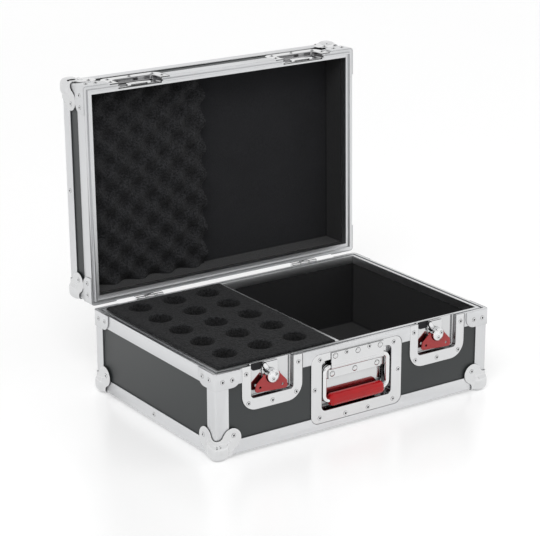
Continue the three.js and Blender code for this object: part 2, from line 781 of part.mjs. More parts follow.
function openTray(x0, x1, closed, open) {
  const halfY = halfDepth - panelInner - seatGap;
  const wall = liningThickness;
  const inward = Math.sign(open - closed);
  return block(x0, x1, -halfY, halfY, closed, open)
    .subtract(block(x0 + wall, x1 - wall, -halfY + wall, halfY - wall, closed + inward * wall,
      open + inward * overrun));
}

const trayEnd = halfWidth - panelInner - seatGap;

function compartmentLining() {
  const top = baseHeight - rimInnerLeg - seatGap;
  return openTray(dividerRight + seatGap, trayEnd, floorTop, top).subtract(handleBulge());
}

function lidLining() {
  return openTray(-trayEnd, trayEnd, lidTop - floorTop, lidParting + rimInnerLeg + seatGap);
}

// Egg-crate foam: a sheet whose free face has staggered rows of peaks and hollows
function eggFoam() {
  const back = lidTop - floorTop - liningThickness - seatGap;
  const x0 = -trayEnd + liningThickness + seatGap;
  const halfY = halfDepth - floorTop - liningThickness - seatGap;
  const columns = Math.round((eggFoamEnd - x0) / eggPitchAcross * eggSides);
  const rows = Math.round(halfY * 2 / eggPitchDeep * eggSides);
  const sheet = new THREE.BoxGeometry(eggFoamEnd - x0, halfY * 2, overrun, columns, rows, 1);
  sheet.translate((x0 + eggFoamEnd) / 2, 0, back + overrun / 2);
  const position = sheet.getAttribute('position');
  const swing = (eggFoamThickness - eggValley) / 2;
  for (let index = 0; index < position.count; index += 1) {
    if (position.getZ(index) > back + overrun / 2) continue;
    const across = (position.getX(index) - eggFoamEnd) / eggPitchAcross;
    const deep = (position.getY(index) + halfY - eggLead) / eggPitchDeep;
    const wave = Math.cos(Math.PI * 2 * across) * Math.cos(Math.PI * 2 * deep);
    position.setZ(index, back - eggValley - swing * (1 + wave));
  }
  const behind = block(x0 - overrun, eggFoamEnd + overrun, -halfDepth, halfDepth, back, back + overrun * 2);
  return solid(sheet).subtract(behind);
}

// Assembly
const model = new THREE.Group();
const base = new THREE.Group();
const lidPivot = new THREE.Group();
const lid = new THREE.Group();
model.add(base, lidPivot);
lidPivot.add(lid);

const latchCuts = sides.map(([, sign]) => {
  const x = sign * latchCentre;
  const half = latchRecessWidth / 2 + stampedWall + seatGap;
  return frontBlock(x - half, x + half, -overrun, latchFloorBack + seatGap,
    latchRecessBottom - stampedWall - seatGap, baseHeight + overrun);
});
const latchPlateCuts = sides.map(([, sign]) => {
  const x = sign * latchCentre;
  const half = latchPlateWidth / 2 + seatGap;
  return frontBlock(x - half, x + half, -overrun, plateBack + seatGap,
    latchPlateBottom - seatGap, baseHeight + overrun);
});
// These also stop the tongue short of the latch recesses that it passes over
const keeperCuts = sides.map(([, sign]) => {
  const x = sign * latchCentre;
  const half = latchRecessWidth / 2 + stampedWall + seatGap;
  return frontBlock(x - half, x + half, -overrun, latchFloorBack + seatGap,
    lidParting - tongueHeight - overrun, lidParting + keeperRecessHeight + stampedWall + seatGap);
});
const keeperPlateCuts = sides.map(([, sign]) => {
  const x = sign * latchCentre;
  const half = latchPlateWidth / 2 + seatGap;
  return frontBlock(x - half, x + half, -overrun, plateBack + seatGap,
    lidParting - overrun, lidParting + keeperPlateHeight + seatGap);
});
const handlePlateCut = frontPlate(handlePlateOutline(seatGap), -overrun, plateBack + seatGap);

buildShell(base, 'base', 'bottom', 0, baseHeight, grooveDepth + rimWeb, {
  panel: [...latchCuts, handleBulge()],
  angle: [handlePlateCut],
  rim: [...latchCuts, ...latchPlateCuts, handlePlateCut],
  closure: (rim) => rim.subtract(
    ring(grooveInset, grooveInset + grooveWidth, baseHeight - grooveDepth, baseHeight + overrun)),
});
buildShell(lid, 'lid', 'top', lidTop, lidParting, rimWeb, {
  panel: keeperCuts,
  angle: [],
  rim: [...keeperCuts, ...keeperPlateCuts],
  closure: (rim) => rim.add(
    ring(grooveInset + tongueClearance, grooveInset + grooveWidth - tongueClearance,
      lidParting - tongueHeight, lidParting + rimWeb / 2)),
});

addPart(base, 'mic_foam_block', foam(), microphoneFoam());
addPart(base, 'divider_panel', laminate(), divider());
addPart(base, 'divider_cap', aluminium(), dividerCap());
addPart(base, 'base_lining', carpet(), compartmentLining());
addPart(base, 'handle_dish', nickel(), handleDish());
addPart(base, 'handle_clamp_plate', nickel(), handleClamp());
addPart(base, 'handle_bail', chrome(), bail());
addPart(base, 'handle_grip', redRubber(), grip());
addPart(lid, 'lid_lining', carpet(), lidLining());
addPart(lid, 'lid_convoluted_foam', foam(), eggFoam());
for (const [side, sign] of sides) {
  const latchX = sign * latchCentre;
  const hingeX = sign * (halfWidth - hingeInset);
  addPart(base, `latch_dish_${side}`, nickel(), latchDish(latchX));
  addPart(base, `latch_rotor_${side}`, chrome(), latchRotor(latchX));
  addPart(base, `latch_wing_${side}`, redCoating(), latchWing(latchX));
  addPart(base, `latch_hook_${side}`, chrome(), latchDrawbar(latchX));
  addPart(base, `hinge_base_leaf_${side}`, nickel(), hingeLeaf(hingeX, false));
  addPart(lid, `keeper_dish_${side}`, nickel(), keeperDish(latchX));
  addPart(lid, `hinge_lid_leaf_${side}`, nickel(), hingeLeaf(hingeX, true));
}

// The lid stands open on its stop
lidPivot.position.set(0, hingeY, hingeZ);
lidPivot.rotation.x = -THREE.MathUtils.degToRad(lidOpenAngle);
lid.position.set(0, -hingeY, -hingeZ);

// The origin is under the middle of the open case, at floor level
model.updateMatrixWorld(true);
const bounds = new THREE.Box3().setFromObject(model, true);
const centre = bounds.getCenter(new THREE.Vector3());
model.position.set(-centre.x, -centre.y, -footLevel);
model.updateMatrixWorld(true);

export default model;
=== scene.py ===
import json
import math

import bmesh
import bpy
import numpy as np
from mathutils import Matrix, Vector, noise


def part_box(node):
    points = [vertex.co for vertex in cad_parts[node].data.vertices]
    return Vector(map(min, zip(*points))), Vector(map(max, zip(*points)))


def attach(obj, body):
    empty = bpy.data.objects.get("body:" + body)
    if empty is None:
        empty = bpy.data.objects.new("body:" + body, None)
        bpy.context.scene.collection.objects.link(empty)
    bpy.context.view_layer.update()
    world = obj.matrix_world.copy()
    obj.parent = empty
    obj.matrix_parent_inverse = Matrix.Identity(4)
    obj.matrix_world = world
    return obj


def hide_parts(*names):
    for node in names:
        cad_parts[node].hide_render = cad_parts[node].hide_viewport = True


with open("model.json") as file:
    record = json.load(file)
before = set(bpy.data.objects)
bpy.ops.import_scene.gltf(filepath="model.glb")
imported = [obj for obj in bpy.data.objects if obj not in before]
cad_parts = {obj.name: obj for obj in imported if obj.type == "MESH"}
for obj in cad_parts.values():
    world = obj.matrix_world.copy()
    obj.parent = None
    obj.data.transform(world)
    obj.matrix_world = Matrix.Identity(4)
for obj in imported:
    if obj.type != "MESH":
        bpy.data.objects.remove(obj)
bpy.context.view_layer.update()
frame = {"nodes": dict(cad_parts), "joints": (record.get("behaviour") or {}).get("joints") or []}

# Sizes in millimetres, in the frame of the shut case: z = 0 under the edge angles, the front faces -Y
MM = 0.001
CASE_WIDTH = 540
CASE_DEPTH = 370
BASE_HEIGHT = 140
LID_HEIGHT = 74
PARTING_GAP = 0.5
SEAT_GAP = 0.3
ANGLE_ROUND = 4
PANEL_INNER = 11.8
STAMPED_WALL = 1.5
STAMPED_FACE = SEAT_GAP + STAMPED_WALL
SHEET_EASE = 0.2
STAMPED_SKIN = STAMPED_WALL - SHEET_EASE
PLATE_FRONT = 0.5
RIM_WIDTH = 14
RIM_INNER_LEG = 14
LINING_THICKNESS = 1.6
LINING_SKIN = LINING_THICKNESS - SHEET_EASE
LINING_FACE = PANEL_INNER + SEAT_GAP + LINING_THICKNESS
LATCH_X = 164
LATCH_PLATE = (113.5, 66, 27)
LATCH_RECESS = (79, 86, 6)
LATCH_DEPTH = 9
BOSS_HEIGHT = 116
BOSS_RADIUS = 10.6
BOSS_FRONT = -4.1
DRAWBAR_FRONT = 7.5
KEEPER_PLATE = (113.5, 44, 14)
KEEPER_RECESS = (79, 27, 6)
HANDLE_PLATE = (180, 13, 130.5, 14)
HANDLE_RECESS = (138, 33, 117, 8)
HANDLE_DEPTH = 14.5
LEDGE_DEPTH = 8.5
LEDGE_BOTTOM = 82
BAIL_HEIGHT = 105
BAIL_DEPTH = 4
BAIL_RADIUS = 4.25
BAIL_WIDTH = 126
BAIL_DROP = 57
BAIL_BEND = 10
GRIP = (107, 21, 18, 8.2)
GRIP_END_ROUND = 6.0
GRIP_LEAST_ROUND = 1.2
CLAMP = (104, 83, 129)
FOAM_TOP = BASE_HEIGHT + 2.5
FOAM_RISE = 2
FOAM_FRONT_INSET = 17
FOAM_EDGE = 4
DIVIDER_LEFT = -31
DIVIDER_RIGHT = -23
HOLE_RADIUS = 19.3
HOLE_LIP = 2.8
HOLE_PITCH = (66.4, 64.1)
HOLE_START = (-210.4, -119.9)
HOLE_COUNT = (3, 5)
HOLE_DEPTH = 100
EGG_END = -17
EGG_THICKNESS = 26
EGG_PITCH = (53.6, 47)
EGG_LEAD = 37
EGG_VALLEY = 9
HALF_WIDTH = CASE_WIDTH / 2
HALF_DEPTH = CASE_DEPTH / 2
LID_PARTING = BASE_HEIGHT + PARTING_GAP
LID_TOP = LID_PARTING + LID_HEIGHT
SIDES = (("left", -1), ("right", 1))

# The shut case's place in the row frame, and the turn that opens the lid
rim_low, rim_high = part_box("base_rim_frame")
SHIFT = Vector((0, (rim_low.y + rim_high.y) / 2, rim_high.z - BASE_HEIGHT * MM))
lid_hinge = next(j for j in frame["joints"] if j["name"] == "lid_hinge")
HINGE = Vector(lid_hinge["pos_m"])
OPENING = Matrix.Rotation(-math.radians(lid_hinge["range_deg"][1]), 4, "X")
LID_TURN = Matrix.Translation(HINGE) @ OPENING @ Matrix.Translation(-HINGE)


def placed(point, lid=False):
    p = Vector(point) * MM + SHIFT
    return LID_TURN @ p if lid else p


# Materials, their distances in metres
# Radius of the dark lines painted as shade along edges
EDGE_SHADE_RADIUS = 0.0011
RUBBED_EDGE = 0.0006
# Reach of the shade painted into the foam's hollows
FOAM_SHADE_REACH = 0.03


def node(tree, kind, inputs=None, **settings):
    made = tree.nodes.new(kind)
    for key, value in settings.items():
        setattr(made, key, value)
    for key, value in (inputs or {}).items():
        if isinstance(value, bpy.types.NodeSocket):
            tree.links.new(value, made.inputs[key])
        else:
            made.inputs[key].default_value = value
    return made


def surface(name, color, metallic, roughness, **sockets):
    mat = bpy.data.materials.new(name)
    mat.use_nodes = True
    tree = mat.node_tree
    shader = tree.nodes["Principled BSDF"]
    sockets.update(Base_Color=(*color, 1), Metallic=metallic, Roughness=roughness)
    for key, value in sockets.items():
        shader.inputs[key.replace("_", " ")].default_value = value
    place = node(tree, "ShaderNodeTexCoord").outputs["Object"]
    return mat, tree, shader, place


def feed(tree, shader, **values):
    """Links the outputs of nodes to the sockets of the same names."""
    for key, value in values.items():
        tree.links.new(value, shader.inputs[key.replace("_", " ")])


def stretched(tree, place, scale):
    return node(tree, "ShaderNodeMapping", {"Vector": place, "Scale": scale}).outputs["Vector"]


def noise_of(tree, place, scale, detail, roughness=0.5):
    made = node(tree, "ShaderNodeTexNoise",
                {"Vector": place, "Scale": scale, "Detail": detail, "Roughness": roughness})
    return made.outputs["Fac"]


def remap(tree, value, low, high, start=0.0, end=1.0):
    made = node(tree, "ShaderNodeMapRange",
                {"Value": value, "From Min": start, "From Max": end, "To Min": low, "To Max": high})
    return made.outputs["Result"]


def mixed(tree, share, first, second):
    """A blend of two colours, each a socket or three values."""
    colors = [c if isinstance(c, bpy.types.NodeSocket) else (*c, 1) for c in (first, second)]
    made = node(tree, "ShaderNodeMix", {"Factor": share, "A": colors[0], "B": colors[1]}, data_type="RGBA")
    return made.outputs["Result"]


def bumped(tree, shader, height, strength, distance):
    made = node(tree, "ShaderNodeBump", {"Height": height, "Strength": strength, "Distance": distance})
    feed(tree, shader, Normal=made.outputs["Normal"])


def math_of(tree, operation, a, b):
    made = node(tree, "ShaderNodeMath", {0: a, 1: b}, operation=operation)
    return made.outputs["Value"]


def open_air(tree, distance):
    """1 on open faces, falling to 0 where other faces stand close."""
    return node(tree, "ShaderNodeAmbientOcclusion", {"Distance": distance}, samples=8).outputs["AO"]


def near_edges(tree, radius):
    """1 on sharp edges, 0 on flat faces."""
    bevel = node(tree, "ShaderNodeBevel", {"Radius": radius}, samples=4).outputs["Normal"]
    flat = node(tree, "ShaderNodeNewGeometry").outputs["Normal"]
    same = node(tree, "ShaderNodeVectorMath", {0: bevel, 1: flat}, operation="DOT_PRODUCT")
    return remap(tree, same.outputs["Value"], 1.0, 0.0, 0.8, 0.99)


def painted_seam_shade(tree, base, distance, shade_color, depth, edges):
    """Paints shade into a colour where faces meet, such as round rivets and in grooves, and paints dark shade
    lines along edges.
    """
    # Painted shade where other faces stand close, from ambient occlusion
    closed = remap(tree, open_air(tree, distance), depth, 0.0, 0.15, 0.8)
    # Painted dark shade lines along sharp edges
    edge = math_of(tree, "MULTIPLY", near_edges(tree, EDGE_SHADE_RADIUS), edges)
    return mixed(tree, math_of(tree, "MAXIMUM", closed, edge), base, shade_color)


def extruded_metal(name, along):
    """Satin anodised extrusion with its drawing lines running along one axis."""
    mat, tree, shader, place = surface(name, (0.67, 0.68, 0.69), 1.0, 0.34)
    scale = [6 if axis == along else 900 for axis in "xyz"]
    lines = noise_of(tree, stretched(tree, place, scale), 1, 3, 0.6)
    cloud = noise_of(tree, place, 14, 3)
    base = mixed(tree, cloud, (0.635, 0.642, 0.652), (0.705, 0.712, 0.722))
    # Painted shade in dark grey in the seams and along the edges
    seam_shaded = painted_seam_shade(tree, base, 0.0028, (0.14, 0.14, 0.145), depth=0.55, edges=0.4)
    rough = math_of(tree, "ADD", remap(tree, lines, -0.05, 0.05), remap(tree, cloud, 0.28, 0.38))
    feed(tree, shader, Base_Color=seam_shaded, Roughness=rough)
    bumped(tree, shader, lines, 0.12, 0.0002)
    return mat


def plated_steel(name, color, roughness, bump, seam=0.003, edges=0.4):
    """Pressed and plated steel: faint waves and fine scratches, with painted shade in its seams and along its
    edges.
    """
    mat, tree, shader, place = surface(name, color, 1.0, roughness)
    waves = noise_of(tree, place, 22, 2)
    scratches = noise_of(tree, stretched(tree, place, (60, 1500, 900)), 1, 2)
    dark, light = (tuple(c * share for c in color) for share in (0.95, 1.04))
    base = mixed(tree, waves, dark, light)
    # Painted shade, near black, in the seams and along the edges
    seam_shaded = painted_seam_shade(tree, base, seam, (0.03, 0.03, 0.032), depth=0.9, edges=edges)
    scratched = remap(tree, scratches, roughness, roughness + 0.03)
    rough = math_of(tree, "ADD", remap(tree, waves, -0.02, 0.02), scratched)
    feed(tree, shader, Base_Color=seam_shaded, Roughness=rough)
    bumped(tree, shader, waves, bump, 0.0015)
    return mat


def laminate_sheet(name):
    """Dark plastic laminate with a fine pebbled grain."""
    mat, tree, shader, place = surface(name, (0.03, 0.033, 0.035), 0.0, 0.42, Specular_IOR_Level=0.5)
    grain = node(tree, "ShaderNodeTexVoronoi", {"Vector": place, "Scale": 620}, feature="SMOOTH_F1")
    fine = noise_of(tree, place, 900, 2)
    cloud = noise_of(tree, place, 9, 3)
    base = mixed(tree, cloud, (0.03, 0.0345, 0.036), (0.042, 0.0465, 0.0475))
    feed(tree, shader, Base_Color=base, Roughness=remap(tree, cloud, 0.38, 0.5))
    height = math_of(tree, "ADD", grain.outputs["Distance"], math_of(tree, "MULTIPLY", fine, 0.4))
    bumped(tree, shader, height, 0.35, 0.00025)
    return mat


def open_cell_foam(name, dark, light):
    """Open-cell foam: pores, a matt skin, uneven tone and painted shade in its hollows."""
    mat, tree, shader, place = surface(name, light, 0.0, 0.95, Specular_IOR_Level=0.15, Sheen_Weight=0.05,
                                       Sheen_Roughness=0.6)
    pores = node(tree, "ShaderNodeTexVoronoi", {"Vector": place, "Scale": 420})
    lumps = noise_of(tree, place, 240, 4, 0.65)
    grain = math_of(tree, "MULTIPLY", remap(tree, pores.outputs["Distance"], 1.1, 0.2, 0.2, 0.8),
                    remap(tree, lumps, 0.1, 1.7, 0.3, 0.7))
    # Painted shade in the hollows, from ambient occlusion, darkens the grain
    shade = math_of(tree, "MULTIPLY", grain, remap(tree, open_air(tree, FOAM_SHADE_REACH), 0.25, 1.0, 0.35, 0.85))
    feed(tree, shader, Base_Color=mixed(tree, shade, dark, light))
    height = math_of(tree, "SUBTRACT", lumps, math_of(tree, "MULTIPLY", pores.outputs["Distance"], 0.7))
    bumped(tree, shader, height, 0.9, 0.0022)
    return mat


def felt(name, dark, light):
    """Short-pile felt: tangled fibres with a soft sheen."""
    mat, tree, shader, place = surface(name, light, 0.0, 1.0, Specular_IOR_Level=0.15, Sheen_Weight=0.2,
                                       Sheen_Roughness=0.5)
    fibres = noise_of(tree, stretched(tree, place, (700, 700, 420)), 1, 5, 0.7)
    nap = noise_of(tree, place, 18, 3)
    shade = math_of(tree, "MULTIPLY", fibres, remap(tree, nap, 0.7, 1.3))
    feed(tree, shader, Base_Color=mixed(tree, shade, dark, light))
    bumped(tree, shader, fibres, 0.7, 0.0008)
    return mat


def moulded_plastic(name, color, dark, roughness, coat):
    """Moulded or coated red skin, darker in its mottling and rubbed pale on its edges."""
    mat, tree, shader, place = surface(name, color, 0.0, roughness, Coat_Weight=coat, Coat_Roughness=0.12,
                                       Specular_IOR_Level=0.35)
    cloud = noise_of(tree, place, 60, 3)
    grain = noise_of(tree, place, 1400, 2)
    rubbed = math_of(tree, "MULTIPLY", near_edges(tree, RUBBED_EDGE), 0.35)
    pale = tuple(c + 0.12 for c in color)
    base = mixed(tree, rubbed, mixed(tree, cloud, dark, color), pale)
    feed(tree, shader, Base_Color=base, Roughness=remap(tree, cloud, roughness - 0.05, roughness + 0.08))
    bumped(tree, shader, grain, 0.12, 0.0002)
    return mat


ALUMINIUM = {axis: extruded_metal(f"aluminium_{axis}", axis) for axis in "xyz"}
NICKEL = plated_steel("nickel_steel", (0.68, 0.685, 0.69), 0.08, 0.05)
CORNER = plated_steel("nickel_corner", (0.68, 0.685, 0.69), 0.1, 0.05, seam=0.0012, edges=0.2)
# Copies of the nickel painted darker as shade: the dish floors, and much darker still, the dish drops
RECESS_PAINTED_SHADE = plated_steel("nickel_recess_painted_shade", (0.62, 0.625, 0.63), 0.05, 0.08, seam=0.014)
DROP_PAINTED_SHADE = plated_steel("nickel_drop_painted_shade", (0.32, 0.32, 0.325), 0.12, 0.08, seam=0.006)
CHROME = plated_steel("chrome", (0.76, 0.765, 0.77), 0.04, 0.03)
LAMINATE = laminate_sheet("laminate")
FOAM = open_cell_foam("foam", (0.0055, 0.0055, 0.006), (0.033, 0.0338, 0.036))
CUT_FOAM = open_cell_foam("cut_foam", (0.01, 0.01, 0.0103), (0.038, 0.0385, 0.04))
# The lid's foam is a copy of the same foam, painted lighter for the light it gets
LID_FOAM_PAINTED_LIGHTER = open_cell_foam("lid_foam_painted_lighter", (0.008, 0.008, 0.0086), (0.042, 0.0428, 0.046))
# One felt in three copies, painted darker or lighter for the light each place gets: darkest in the
# compartment, lighter on the lid's walls, lightest on the lid's end
FELT_PAINTED_DARKEST = felt("lining", (0.006, 0.006, 0.0065), (0.017, 0.0172, 0.0188))
LID_WALL_FELT_PAINTED_LIGHTER = felt("lid_wall_felt_painted_lighter", (0.006, 0.006, 0.0065), (0.024, 0.0243, 0.0265))
LID_END_FELT_PAINTED_LIGHTEST = felt("lid_lining", (0.006, 0.0062, 0.007), (0.03, 0.0306, 0.0345))
RED_GRIP = moulded_plastic("red_grip", (0.6, 0.005, 0.009), (0.42, 0.003, 0.006), 0.22, 0.1)
RED_COATING = moulded_plastic("red_coating", (0.5, 0.055, 0.058), (0.41, 0.038, 0.04), 0.34, 0.1)
# Dark steel for the rivet stems and the spring leaf; it also paints shade in rings at the feet of rivets and
# domes, as a line across the drawbar and behind the latch link
DARK_STEEL_AND_PAINTED_SHADE = plated_steel("rivet_stem_and_painted_shade", (0.03, 0.03, 0.032), 0.45, 0.1)


# Meshes
WELD_REACH = 1e-6
BEVEL_ANGLE = 40
QUARTER = math.pi / 2
CUP_STEPS = 10
PLATE_ROUND_STEPS = 3
CIRCLE_SIDES = 24
THINNEST = 0.001


class Shape:
    """Points and faces gathered in the frame of the shut case."""

    def __init__(self, points=(), faces=()):
        self.points = list(points)
        self.faces = list(faces)
        self.kinds = [0] * len(self.faces)

    def add(self, points, faces, kind=0):
        start = len(self.points)
        self.points.extend(points)
        self.faces.extend([tuple(start + i for i in face) for face in faces])
        self.kinds.extend([kind] * len(faces))

    def loft(self, loops, closed=True, first_cap=False, last_cap=False, kind=0):
        count = len(loops[0])
        points = [p for loop in loops for p in loop]
        faces = []
        last = (len(loops) - 1) * count
        for near in range(0, last, count):
            for i in range(count if closed else count - 1):
                j = (i + 1) % count
                faces.append((near + i, near + j, near + count + j, near + count + i))
        if first_cap:
            faces.append(tuple(reversed(range(count))))
        if last_cap:
            faces.append(tuple(range(last, last + count)))
        self.add(points, faces, kind)
        return self

    def merge(self, other, move, kind=None):
        kinds = self.kinds + (other.kinds if kind is None else [kind] * len(other.kinds))
        self.add([move(p) for p in other.points], other.faces)
        self.kinds = kinds
        return self


def linked(name, data):
    made = bpy.data.objects.new(name, data)
    bpy.context.scene.collection.objects.link(made)
    return made


def bevelled(obj, width, segments, angle):
    edge = obj.modifiers.new("edges", "BEVEL")
    edge.width = width * MM
    edge.segments = segments
    edge.limit_method = "ANGLE"
    edge.angle_limit = math.radians(angle)
    edge.harden_normals = True


def piece(name, shape, materials, body, replaces=(), thickness=0.0, bevel=0.0, smooth=50):
    """One object; a shape with a thickness is an open sheet, and faces the way it was drawn."""
    mesh = bpy.data.meshes.new(name)
    mesh.from_pydata([placed(p, body == "lid") for p in shape.points], [], shape.faces)
    for polygon, kind in zip(mesh.polygons, shape.kinds):
        polygon.material_index = kind
        polygon.use_smooth = True
    made = linked(name, mesh)
    for mat in materials:
        mesh.materials.append(mat)
    work = bmesh.new()
    work.from_mesh(mesh)
    bmesh.ops.remove_doubles(work, verts=work.verts, dist=WELD_REACH)
    if not thickness:
        bmesh.ops.recalc_face_normals(work, faces=work.faces)
    work.to_mesh(mesh)
    work.free()
    if thickness:
        wall = made.modifiers.new("wall", "SOLIDIFY")
        wall.thickness = thickness * MM
        wall.offset = -1
        wall.use_even_offset = True
    if bevel:
        bevelled(made, bevel, 3, BEVEL_ANGLE)
    if thickness:
        flat = made.modifiers.new("flat_faces", "WEIGHTED_NORMAL")
        flat.keep_sharp = True
    mesh.set_sharp_from_angle(angle=math.radians(smooth))
    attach(made, body)
    if replaces:
        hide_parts(*replaces)
    return made


def swept(start, end, steps):
    return [start + (end - start) * i / steps for i in range(steps + 1)]


def around(sides):
    return swept(0, 2 * math.pi, sides)[:-1]


def quarter_bend(steps):
    """Pairs from (0, 1) to (1, 0) along a quarter circle."""
    return [(1 - math.cos(a), 1 - math.sin(a)) for a in swept(0, QUARTER, steps)]


def arc_points(cx, cz, radius, start, end, steps):
    return [(cx + radius * math.cos(a), cz + radius * math.sin(a)) for a in swept(start, end, steps)]


def rounded(x0, x1, z0, z1, low, high, steps=8):
    """A closed rectangle with its own radius at the lower and upper corners, counterclockwise."""
    loop = []
    for cx, cz, radius, quarter in ((x0 + low, z0 + low, low, 2), (x1 - low, z0 + low, low, 3),
                                    (x1 - high, z1 - high, high, 0), (x0 + high, z1 - high, high, 1)):
        loop += arc_points(cx, cz, radius, quarter * QUARTER, (quarter + 1) * QUARTER, steps)
    return loop


def cup(x0, x1, z0, z1, radius):
    """An outline open at the top: down the left side, round the bottom and up the right side."""
    loop = [(x0, z1)]
    loop += arc_points(x0 + radius, z0 + radius, radius, 2 * QUARTER, 3 * QUARTER, CUP_STEPS)
    loop += arc_points(x1 - radius, z0 + radius, radius, 3 * QUARTER, 4 * QUARTER, CUP_STEPS)
    return loop + [(x1, z1)]


def at_depth(loop, depth):
    return [(x, depth - HALF_DEPTH, z) for x, z in loop]


def across(line, x):
    """A line of (depth, height) pairs at one x."""
    return [(x, depth - HALF_DEPTH, z) for depth, z in line]


def revolve(shape, profile, origin, axis, sides, kinds=None):
    """Turns (radius, height) pairs about an axis through origin; the ends close on it."""
    axis = Vector(axis).normalized()
    side = axis.orthogonal().normalized()
    other = axis.cross(side)
    loops = []
    for radius, height in profile:
        loops.append([tuple(Vector(origin) + axis * height
                            + (side * math.cos(a) + other * math.sin(a)) * max(radius, THINNEST))
                      for a in around(sides)])
    for index in range(len(loops) - 1):
        shape.loft(loops[index:index + 2], kind=kinds[index] if kinds else 0)


RIVET_PROFILE = ((0, 0.5), (1.45, 0.35), (1.6, 0.8), (1.9, 1.1), (2.6, 1.0), (3.3, 0.55), (3.6, 0.16),
                 (3.9, 0.08), (3.95, -0.2))
# The second material paints the centre dark as the stem, with the shade of its hole, and paints a ring at the
# foot dark as shade
RIVET_KINDS = (1, 1, 0, 0, 0, 0, 1, 1)
RIVET_SIDES = 16
DOME_PROFILE = ((0, 1.9), (1.2, 1.8), (2.4, 1.5), (3.4, 1.0), (4.1, 0.4), (4.3, 0.15), (4.9, 0.08),
                (4.95, -0.2))
# The second material paints a ring at the dome's foot dark as shade
DOME_KINDS = (0, 0, 0, 0, 0, 1, 1)
DOME_SIDES = 20


def rivet(shape, origin, axis, size=1.0):
    profile = [(r * size, h * size) for r, h in RIVET_PROFILE]
    revolve(shape, profile, origin, axis, RIVET_SIDES, RIVET_KINDS)


def dome(shape, origin, axis):
    revolve(shape, DOME_PROFILE, origin, axis, DOME_SIDES, DOME_KINDS)


# Pressed dishes: a rounded flange, a radiused drop and a flat floor
FLANGE_EDGE = 0.7
DROP_ROUND = 1.6
FLOOR_ROUND = 2.4
BEND_STEPS = 5


def pressed(plate, recess, depth):
    """The front skin of a dish; plate(grow) and recess(grow) give outlines."""
    bend = quarter_bend(BEND_STEPS)
    rows = [at_depth(plate(-FLANGE_EDGE * c), PLATE_FRONT + FLANGE_EDGE * s) for c, s in bend]
    rows += [at_depth(recess(DROP_ROUND * s), PLATE_FRONT + DROP_ROUND * c) for c, s in bend]
    rows += [at_depth(recess(-FLOOR_ROUND * c), depth - FLOOR_ROUND * s) for c, s in bend]
    return rows


def dish(name, body, replaced, rows, closed=False):
    """A pressed sheet: its plate and lip, its floor in the second material, painted darker as shade, and its
    drop in the third, painted much darker as shade.
    """
    shape = Shape()
    lip = 2 * BEND_STEPS - 2
    foot = 3 * BEND_STEPS
    shape.loft(rows[:lip + 1], closed=closed)
    shape.loft(rows[lip:foot + 1], closed=closed, kind=2)
    shape.loft(rows[foot:], closed=closed, last_cap=True, kind=1)
    piece(name, shape, [NICKEL, RECESS_PAINTED_SHADE, DROP_PAINTED_SHADE], body, (replaced,), thickness=STAMPED_SKIN)


def plate_with(outline, holes, outer, inner, round_edge):
    """A flat plate in x and z between two depths, with rounded edges and holes, as a Shape."""
    curve = bpy.data.curves.new("outline", "CURVE")
    curve.dimensions = "2D"
    curve.fill_mode = "BOTH"
    curve.extrude = (inner - outer) / 2 - round_edge
    curve.bevel_depth = round_edge
    curve.bevel_resolution = PLATE_ROUND_STEPS
    curve.offset = -round_edge
    for loop in (outline, *holes):
        spline = curve.splines.new("POLY")
        spline.points.add(len(loop) - 1)
        for point, (x, z) in zip(spline.points, loop):
            point.co = (x, z, 0, 1)
        spline.use_cyclic_u = True
    carrier = linked("outline", curve)
    depsgraph = bpy.context.evaluated_depsgraph_get()
    mesh = bpy.data.meshes.new_from_object(carrier.evaluated_get(depsgraph))
    middle = (outer + inner) / 2
    shape = Shape([(v.co.x, middle - HALF_DEPTH - v.co.z, v.co.y) for v in mesh.vertices],
                  [tuple(p.vertices) for p in mesh.polygons])
    bpy.data.objects.remove(carrier)
    bpy.data.curves.remove(curve)
    bpy.data.meshes.remove(mesh)
    return shape


# Surfaces on a voxel grid: rounded pressings as the zero level of a distance function
PULLS = 3
PULL_SHARE = 0.8
PULL_NUDGE = 0.1
LEAST_SLOPE = 0.25


